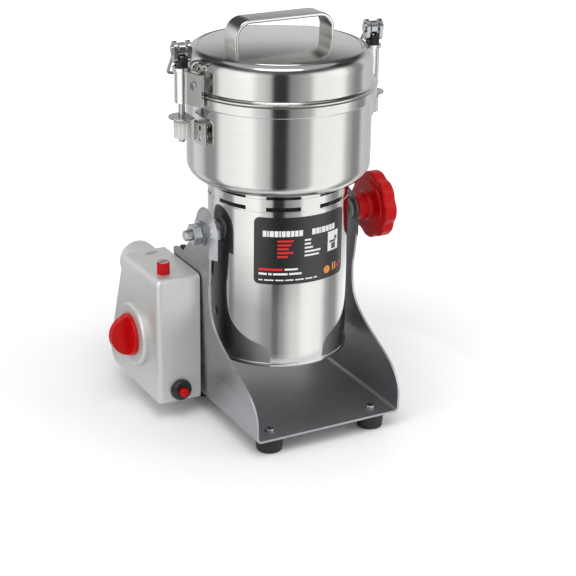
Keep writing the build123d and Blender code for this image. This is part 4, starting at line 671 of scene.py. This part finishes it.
class MILL_OT_handle(bpy.types.Operator):
    """Bends the lid's handle from strip"""

    bl_idname = "mill.handle"
    bl_label = "Handle"

    def execute(self, context):
        s = in_mm(context.scene.mill_handle)
        out, bend_height = s.span / 2, s.top - s.bend
        spot = Vector((AXIS[0] - out + s.thickness / 2, AXIS[1], s.foot)) * MM
        deselect()
        bpy.ops.mesh.primitive_plane_add(size=1, location=spot)
        strap = edit("handle_strap")
        section = (s.thickness * MM, s.width * MM, 1)
        bpy.ops.transform.resize(value=section, center_override=spot)
        left, right = (
            Vector((AXIS[0] + side * (out - s.bend), AXIS[1], bend_height)) * MM
            for side in (-1, 1)
        )
        push((0, 0, bend_height - s.foot))
        sweep(HANDLE_STEPS, 90, left, (0, 1, 0))
        push((2 * (out - s.bend), 0, 0))
        sweep(HANDLE_STEPS, 90, right, (0, 1, 0))
        push((0, 0, s.foot - bend_height))
        close_shell()
        bevel(strap, HANDLE_BREAK, 3)
        shade(strap)
        dress(strap, "satin_strip", "lid", "lid_handle")
        return {"FINISHED"}


HUB_BEND = 0.8
FLARE = 4  # bend between the lock knob's hub and its back
FLARE_START = 6
KNOB_BACK = ((-9, -2), (-7.6, -1.6), (-7.2, -0.3))  # steps in its back, from rim and back
KNOB_FACE = ((-6.4, -0.4), (-7.4, -1.3), (-8.4, -1.5))  # and in its face, from rim and face
BACK_BEND = 2.2
FACE_BEND = 4.0
FACE_DISH = 1.2
GRIP_WIDTH = 9.5  # width of the ring that the grip hollows reach over
LOBE_SEGMENTS = 24


class MILL_OT_knob(bpy.types.Operator):
    """Moulds the lock knob"""

    bl_idname = "mill.knob"
    bl_label = "Lock knob"

    def execute(self, context):
        s = in_mm(context.scene.mill_knob)
        radius, face, hub = s.radius, s.face, s.hub_radius
        back = face - s.rim
        profile = [
            (POLE, s.hub_end),
            *arc((hub - HUB_BEND, s.hub_end + HUB_BEND), HUB_BEND, -90, 0, 3),
            (hub, back - FLARE_START),
            *arc((hub + FLARE, back - FLARE_START), FLARE, 180, 90, 6)[1:],
            *[(radius + out, back + up) for out, up in KNOB_BACK],
            *arc((radius - BACK_BEND, back + BACK_BEND), BACK_BEND, -90, 0, 6),
            *arc((radius - FACE_BEND, face - FACE_BEND), FACE_BEND, 0, 78, 8),
            *[(radius + out, face + up) for out, up in KNOB_FACE],
            (POLE, face - FACE_DISH),
        ]
        segments = LOBE_SEGMENTS * s.lobes
        knob = turn("lock_knob_body", profile, segments, place=(0, 0), closed=False)
        inner = radius - GRIP_WIDTH
        for vertex in knob.data.vertices:
            x, y = vertex.co.xy / MM
            out = hypot(x, y)
            if out > inner:
                wave = (0.5 - 0.5 * cos(s.lobes * atan2(y, x))) ** 2
                share = 1 - s.dip * wave * (out - inner) / GRIP_WIDTH / out
                vertex.co.x *= share
                vertex.co.y *= share
        settle(knob, beside(context.scene.mill_shell.pivot_height / MM)[1])
        shade(knob, EDGE_ANGLE)
        dress(knob, "red_abs", "lock_knob", "lock_knob")
        return {"FINISHED"}


BASE_RISE = 20 * MM  # the stand's base lies below this height over its underside
FACING_IN = 0.2  # how far a face's normal points to the motor's axis on the inner side
FACING_UP = 0.7  # and how far up on the base
CAP_FACE = 0.6 * MM  # depth of the fuse cap's plated face
CAP_FACING_UP = 0.3


class MILL_OT_fittings(bpy.types.Operator):
    """Softens the edges of the stand, the clamps and the small fittings"""

    bl_idname = "mill.fittings"
    bl_label = "Fittings"

    def execute(self, context):
        for node, name, finish, body, width in FITTINGS:
            refine(node, name, finish, body, width)
        # The stand's inner side, which faces the motor's axis, and the base's upward faces are
        # rougher and take a darker colour: painted shade on the inner side, and a painted dark
        # reflection of the motor on the base.
        sheet = bpy.data.objects["stand_sheet"].data
        sheet.materials.append(bpy.data.materials["mill_finish_sheet"])
        base_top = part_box("stand_frame")[0].z + BASE_RISE
        for face in sheet.polygons:
            away = FOOT.x - face.center.x
            inward = face.normal.x * away > FACING_IN * abs(away)
            if inward or face.normal.z > FACING_UP and face.center.z < base_top:
                face.material_index = 1
        # The fuse cap's face is plated metal.
        cap = bpy.data.objects["fuse_cap_body"].data
        cap.materials.append(bpy.data.materials["bright_zinc"])
        top = max(vertex.co.z for vertex in cap.vertices) - CAP_FACE
        for face in cap.polygons:
            if face.center.z > top and face.normal.z > CAP_FACING_UP:
                face.material_index = 1
        return {"FINISHED"}


# The pieces with softened edges: node, piece, finish, body and the edge's width in millimetres.
FITTINGS = (
    ("stand_frame", "stand_sheet", "brushed_stainless", "base", 0.5),
    ("timer_knob", "timer_knob_grip", "red_abs", "timer_knob", 0.7),
    ("fuse_cap", "fuse_cap_body", "red_abs", "fuse_cap", 0.25),
    ("clamp_lugs", "lid_lugs", "satin_strip", "lid", 0.3),
    ("clamp_brackets", "bowl_brackets", "satin_strip", "motor_unit", 0.3),
    ("clamp_sleeve_left", "sleeve_left", "satin_strip", "clamp_left", 0.35),
    ("clamp_sleeve_right", "sleeve_right", "satin_strip", "clamp_right", 0.35),
    ("clamp_lever_left", "lever_left", "bright_zinc", "lever_left", 0.4),
    ("clamp_lever_right", "lever_right", "bright_zinc", "lever_right", 0.4),
    ("clamp_washer_left", "washer_left", "bright_zinc", "rod_left", 0.3),
    ("clamp_washer_right", "washer_right", "bright_zinc", "rod_right", 0.3),
    ("clamp_nut_left", "nut_left_ribbed", "turned_nylon", "nut_left", 0.3),
    ("clamp_nut_right", "nut_right_ribbed", "turned_nylon", "nut_right", 0.3),
    ("stud_nut", "stud_nut_hex", "bright_zinc", "motor_unit", 0.5),
    ("rubber_feet", "feet_moulded", "moulded_rubber", "base", 0.6),
)


BAR_STEP = 1.5  # bars are cut this often so that they bend round the housing
DOT_SEGMENTS = 20


class MILL_OT_label(bpy.types.Operator):
    """Prints the housing's film with plain bars and dots"""

    bl_idname = "mill.label"
    bl_label = "Label print"

    def execute(self, context):
        sizes = context.scene.mill_label
        for name, finish, bars, dots in PRINTS:
            deselect()
            bpy.ops.mesh.primitive_plane_add(size=1, location=(0, 0, 0))
            piece = edit(name)
            bpy.ops.mesh.delete(type="VERT")
            for along, up, width, height in bars:
                centre = Vector((along + width / 2, up + height / 2, 0)) * MM
                bpy.ops.mesh.primitive_grid_add(
                    x_subdivisions=max(1, round(width / BAR_STEP)),
                    y_subdivisions=1,
                    size=1,
                    location=centre,
                )
                across = (width * MM, height * MM, 1)
                bpy.ops.transform.resize(value=across, center_override=centre)
            for along, up, diameter in dots:
                bpy.ops.mesh.primitive_circle_add(
                    vertices=DOT_SEGMENTS,
                    radius=diameter / 2 * MM,
                    fill_type="NGON",
                    location=Vector((along, up, 0)) * MM,
                )
            settle(piece)
            # The flat print is bent round the housing.
            for vertex in piece.data.vertices:
                angle = radians(sizes.left) + vertex.co.x / sizes.radius
                x, y = sizes.radius * cos(angle), sizes.radius * sin(angle)
                vertex.co = FOOT + Vector((x, y, sizes.low + vertex.co.y))
            # The grey print lies over the white one, so it is twice as thick.
            layers = 2 if finish == "grey_ink" else 1
            modify(piece, "SOLIDIFY", thickness=layers * sizes.ink, offset=1)
            edit(name)
            close_shell()
            dress(piece, finish, "motor_unit")
        return {"FINISHED"}


def row_of(along, up, widths, height, gap=0.7):
    """Bars in a row, in millimetres on the flat film."""
    bars = []
    for width in widths:
        bars.append((along, up, width, height))
        along += width + gap
    return bars


# The print, in millimetres from the film's lower left corner: bars are (along, up, width,
# height) and dots are (along, up, diameter).
PRINTS = (
    (
        "print_white",
        "white_ink",
        row_of(8, 44.6, (3.4, 1.3, 3.6, 3.4, 1.6, 3.2, 3.4, 3.0, 3.0, 3.4), 5.4)
        + row_of(52.5, 44.6, (3.6, 3.4, 1.3, 3.8, 3.4, 3.0, 3.4), 5.4)
        + [
            (45.5, 39.5, 6.0, 1.7),
            (45.5, 35.9, 6.0, 1.7),
            (45.5, 32.3, 8.0, 1.7),
            (45.5, 28.7, 16.0, 1.7),
            (45.5, 25.1, 14.5, 1.7),
            (27.5, 13.2, 12.0, 1.7),
        ]
        + row_of(4.5, 8.8, (7.5, 3.0, 13.0, 11.5), 1.9, 1.2)
        + row_of(4.5, 3.4, (3.6, 8.5, 7.5, 7.5, 8.0, 7.0, 3.5), 1.2, 1.4)
        + [(70.0, 25.0, 13.6, 18.2)],
        (),
    ),
    (
        "print_red",
        "red_ink",
        [
            (21.0, 39.5, 14.0, 1.9),
            (21.0, 35.9, 12.0, 1.9),
            (21.0, 32.3, 10.0, 1.9),
            (21.0, 28.7, 14.0, 1.9),
            (21.0, 25.1, 9.5, 1.9),
            (4.5, 13.0, 21.5, 2.1),
        ],
        ((84.2, 8.4, 3.0), (87.6, 10.8, 2.2)),
    ),
    (
        "print_amber",
        "amber_ink",
        [(76.4, 5.6, 1.8, 7.4), (79.6, 6.0, 1.8, 6.6)],
        ((69.6, 8.2, 7.4),),
    ),
    (
        "print_grey",
        "grey_ink",
        [(74.6, 26.5, 5.4, 5.4), (72.2, 32.6, 8.2, 2.0)],
        ((80.2, 36.4, 3.6),),
    ),
)


# ---- Stage ----

# The camera's place and aim, measured from the motor's axis on the floor.
CAMERA_AZIMUTH = -28.65
CAMERA_PITCH = 22.40
CAMERA_ROLL = 0.86
CAMERA_SIDE = 10.31 * MM
CAMERA_HEIGHT = 113.44 * MM
CAMERA_DISTANCE = 1521.3 * MM
CAMERA_LENS = 103.125
CAMERA_SENSOR = 36
CAMERA_NEAR = 0.05

FLOOR_SIZE = 12
FLOOR_GLOW = {"From Min": 0.15, "From Max": 0.8, "To Min": 0.0, "To Max": 0.6}  # by metres

LAMP_TARGET = Vector((0, 0, 0.2))
# Softboxes: name, the setting that gives its power, width, height and place.
LAMPS = (
    ("key_lamp", "key", 1.4, 1.4, (-0.5, -0.9, 2.0)),
    ("left_lamp", "fill", 0.5, 1.6, (-1.8, -0.6, 0.9)),
    ("right_lamp", "fill", 0.5, 1.6, (1.5, -1.3, 0.9)),
)

CARD_REACH = 0.215
CARD_HEIGHT = 0.6
CARD_SEGMENTS = 120
# By height, the share of the low cards, and the strength of them all.
CARD_HAZE = {"From Min": 0.05, "From Max": 0.12, "To Min": 0.75, "To Max": 0.0}
CARD_FALL = {"From Min": 0.395, "From Max": 0.455, "To Min": 1.6, "To Max": 0.16}
# Cards round the mill: degrees to the right of the camera, and brightness.
CARDS = (
    (-180, 0.50),
    (180, 0.50),
    (-150, 0.44),
    (-117, 0.40),
    (-104, 0.66),
    (-92, 0.58),
    (-82, 0.27),
    (-70, 0.28),
    (-60, 0.85),
    (-28, 1.0),
    (-18, 0.66),
    (-9, 0.50),
    (-4, 0.03),
    (7, 0.03),
    (13, 0.26),
    (29, 0.42),
    (38, 0.9),
    (68, 0.95),
    (80, 0.42),
    (88, 0.24),
    (96, 0.24),
    (106, 0.58),
    (116, 0.5),
    (130, 0.44),
)
# Cards low down: share of the way from left to right across the wall, and brightness.
LOW_CARDS = (
    (0.0, 0.12),
    (1.0, 0.3),
    (0.05, 0.2),
    (0.2, 0.3),
    (0.35, 0.2),
    (0.5, 0.2),
    (0.56, 0.42),
    (0.7, 0.8),
    (0.87, 1.0),
    (0.95, 0.9),
)


def facing():
    """The camera's own X, Y and Z while it is level."""
    azimuth, pitch = radians(CAMERA_AZIMUTH), radians(CAMERA_PITCH)
    back = Vector((sin(azimuth) * cos(pitch), -cos(azimuth) * cos(pitch), sin(pitch)))
    right = Vector((cos(azimuth), sin(azimuth), 0))
    return right, back.cross(right), back


def add_camera(scene):
    """Stands the camera in front of the mill."""
    right, up, back = facing()
    spot = FOOT + right * CAMERA_SIDE + back * CAMERA_DISTANCE
    spot.z += CAMERA_HEIGHT
    roll = radians(CAMERA_ROLL)
    right, up = right * cos(roll) + up * sin(roll), up * cos(roll) - right * sin(roll)
    data = bpy.data.cameras.new("camera")
    data.lens = CAMERA_LENS
    data.sensor_width = CAMERA_SENSOR
    data.clip_start = CAMERA_NEAR
    camera = bpy.data.objects.new("camera", data)
    scene.collection.objects.link(camera)
    camera.matrix_world = stood(spot, right, up, back)
    scene.camera = camera


def seen_by(tree, *rays):
    """A value of 1 for rays of the named kinds, and of 0 for all others."""
    path = add_node(tree, "ShaderNodeLightPath")
    seen = path.outputs[rays[0]]
    for ray in rays[1:]:
        either = add_node(
            tree, "ShaderNodeMath", {"operation": "MAXIMUM"}, links={0: seen, 1: path.outputs[ray]}
        )
        seen = either.outputs[0]
    return seen


def add_floor(look):
    """Lays the satin white floor. It grows brighter away from the mill to the camera and in
    reflections."""
    tree, shader, place = finish_of("satin_floor", look.floor, 0, 0.55)
    seen = seen_by(tree, "Is Camera Ray", "Is Glossy Ray", "Is Transmission Ray")
    reach = add_node(tree, "ShaderNodeVectorMath", {"operation": "LENGTH"}, links={"Vector": place})
    glow = add_node(
        tree, "ShaderNodeMapRange", values=FLOOR_GLOW, links={"Value": reach.outputs["Value"]}
    )
    lift = add_node(
        tree,
        "ShaderNodeMath",
        {"operation": "MULTIPLY"},
        links={0: seen, 1: glow.outputs["Result"]},
    )
    shader.inputs["Emission Color"].default_value = (1, 1, 1, 1)
    tree.links.new(lift.outputs[0], shader.inputs["Emission Strength"])
    deselect()
    bpy.ops.mesh.primitive_plane_add(size=FLOOR_SIZE)
    floor = bpy.context.object
    floor.name = "floor"
    floor.data.materials.append(bpy.data.materials["satin_floor"])


def add_surroundings(scene, look):
    """White surroundings to the camera, and plainer light on the object."""
    world = bpy.data.worlds.new("studio")
    world.use_nodes = True
    scene.world = world
    tree = world.node_tree
    background = tree.nodes["Background"]
    background.inputs["Color"].default_value = (1, 1, 1, 1)
    power = add_node(
        tree,
        "ShaderNodeMapRange",
        values={"To Min": look.surround, "To Max": 1.0},
        links={"Value": seen_by(tree, "Is Camera Ray")},
    )
    tree.links.new(power.outputs["Result"], background.inputs["Strength"])


def add_lamps(scene, look):
    """Hangs the softboxes, aimed at the mill's middle."""
    for name, power, width, height, spot in LAMPS:
        lamp = bpy.data.lights.new(name, "AREA")
        lamp.shape = "RECTANGLE"
        lamp.energy = getattr(look, power)
        lamp.size = width
        lamp.size_y = height
        piece = bpy.data.objects.new(name, lamp)
        scene.collection.objects.link(piece)
        aim = (FOOT + LAMP_TARGET - Vector(spot)).to_track_quat("-Z", "Y")
        piece.matrix_world = Matrix.Translation(spot) @ aim.to_matrix().to_4x4()


def paint_stops(ramp, shades):
    """Sets a colour ramp to greys at places between 0 and 1."""
    ramp.interpolation = "EASE"
    for index, (place, grey) in enumerate(shades):
        stop = ramp.elements[index] if index < 2 else ramp.elements.new(place)
        stop.position = place
        stop.color = (grey, grey, grey, 1)


def card_light():
    """The glow of the cards. Low down other cards show through, and high up they all fall into
    shade."""
    material = bpy.data.materials.new("card_light")
    material.use_nodes = True
    tree = material.node_tree
    tree.nodes.remove(tree.nodes["Principled BSDF"])
    place = add_node(tree, "ShaderNodeTexCoord").outputs["Object"]
    parts = add_node(tree, "ShaderNodeSeparateXYZ", links={"Vector": place})
    around = add_node(
        tree, "ShaderNodeTexGradient", {"gradient_type": "RADIAL"}, links={"Vector": place}
    )
    cards = add_node(tree, "ShaderNodeValToRGB", links={"Fac": around.outputs["Fac"]})
    paint_stops(cards.color_ramp, [(0.5 + angle / 360, grey) for angle, grey in CARDS])
    sideways = add_node(
        tree,
        "ShaderNodeMapRange",
        values={"From Min": -CARD_REACH, "From Max": CARD_REACH},
        links={"Value": parts.outputs["Y"]},
    )
    low_cards = add_node(tree, "ShaderNodeValToRGB", links={"Fac": sideways.outputs["Result"]})
    paint_stops(low_cards.color_ramp, LOW_CARDS)
    haze, fall = (
        add_node(tree, "ShaderNodeMapRange", values=values, links={"Value": parts.outputs["Z"]})
        for values in (CARD_HAZE, CARD_FALL)
    )
    shown = add_node(
        tree,
        "ShaderNodeMix",
        {"data_type": "RGBA"},
        links={
            0: haze.outputs["Result"],
            6: cards.outputs["Color"],
            7: low_cards.outputs["Color"],
        },
    )
    light = add_node(
        tree,
        "ShaderNodeEmission",
        links={"Color": shown.outputs[2], "Strength": fall.outputs["Result"]},
    )
    tree.links.new(light.outputs["Emission"], tree.nodes["Material Output"].inputs["Surface"])
    return material


def add_cards():
    """Stands a round wall of light and dark cards close about the mill, which shows only in its
    polished metal."""
    deselect()
    bpy.ops.mesh.primitive_circle_add(
        vertices=CARD_SEGMENTS, radius=CARD_REACH, location=(0, 0, 0)
    )
    wall = edit("card_wall")
    bpy.ops.mesh.extrude_edges_move(TRANSFORM_OT_translate={"value": (0, 0, CARD_HEIGHT)})
    bpy.ops.object.mode_set(mode="OBJECT")
    right, up = facing()[0], Vector((0, 0, 1))
    wall.matrix_world = stood(FOOT, right.cross(up), right, up)
    wall.data.materials.append(card_light())
    wall.visible_camera = False
    wall.visible_diffuse = False
    wall.visible_shadow = False
    wall.visible_transmission = False


class MILL_OT_stage(bpy.types.Operator):
    """Sets up the camera, the floor and the studio's lamps"""

    bl_idname = "mill.stage"
    bl_label = "Stage"

    def execute(self, context):
        scene = context.scene
        add_camera(scene)
        add_floor(scene.mill_stage)
        add_surroundings(scene, scene.mill_stage)
        add_lamps(scene, scene.mill_stage)
        add_cards()
        return {"FINISHED"}


class MILL_PT_panel(bpy.types.Panel):
    """Lists the pieces of the mill in the sidebar"""

    bl_idname = "MILL_PT_panel"
    bl_label = "Grain Mill"
    bl_space_type = "VIEW_3D"
    bl_region_type = "UI"
    bl_category = "Grain Mill"

    def draw(self, context):
        for operator in OPERATORS:
            self.layout.operator(operator.bl_idname)
        for group in GROUPS:
            settings = getattr(context.scene, group)
            for key in settings.__annotations__:
                self.layout.prop(settings, key)


GROUPS = {
    "mill_shell": ShellSizes,
    "mill_handle": HandleSizes,
    "mill_knob": KnobSizes,
    "mill_label": LabelSizes,
    "mill_finishes": Finishes,
    "mill_stage": StageSettings,
}
OPERATORS = (
    MILL_OT_finishes,
    MILL_OT_nodes,
    MILL_OT_bowl,
    MILL_OT_lid,
    MILL_OT_housing,
    MILL_OT_handle,
    MILL_OT_knob,
    MILL_OT_fittings,
    MILL_OT_label,
    MILL_OT_stage,
)


def register():
    for group in GROUPS.values():
        bpy.utils.register_class(group)
    for name, group in GROUPS.items():
        setattr(bpy.types.Scene, name, PointerProperty(type=group))
    for item in (*OPERATORS, MILL_PT_panel):
        bpy.utils.register_class(item)


def unregister():
    for item in (MILL_PT_panel, *reversed(OPERATORS)):
        bpy.utils.unregister_class(item)
    for name in GROUPS:
        delattr(bpy.types.Scene, name)
    for group in GROUPS.values():
        bpy.utils.unregister_class(group)


def main():
    """Registers the add-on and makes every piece."""
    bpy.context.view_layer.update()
    bpy.context.scene.view_settings.view_transform = "Standard"
    register()
    bpy.ops.mill.finishes()
    bpy.ops.mill.nodes()
    bpy.ops.mill.bowl()
    bpy.ops.mill.lid()
    bpy.ops.mill.housing()
    bpy.ops.mill.handle()
    bpy.ops.mill.knob()
    bpy.ops.mill.fittings()
    bpy.ops.mill.label()
    bpy.ops.mill.stage()


if __name__ == "__main__":
    main()
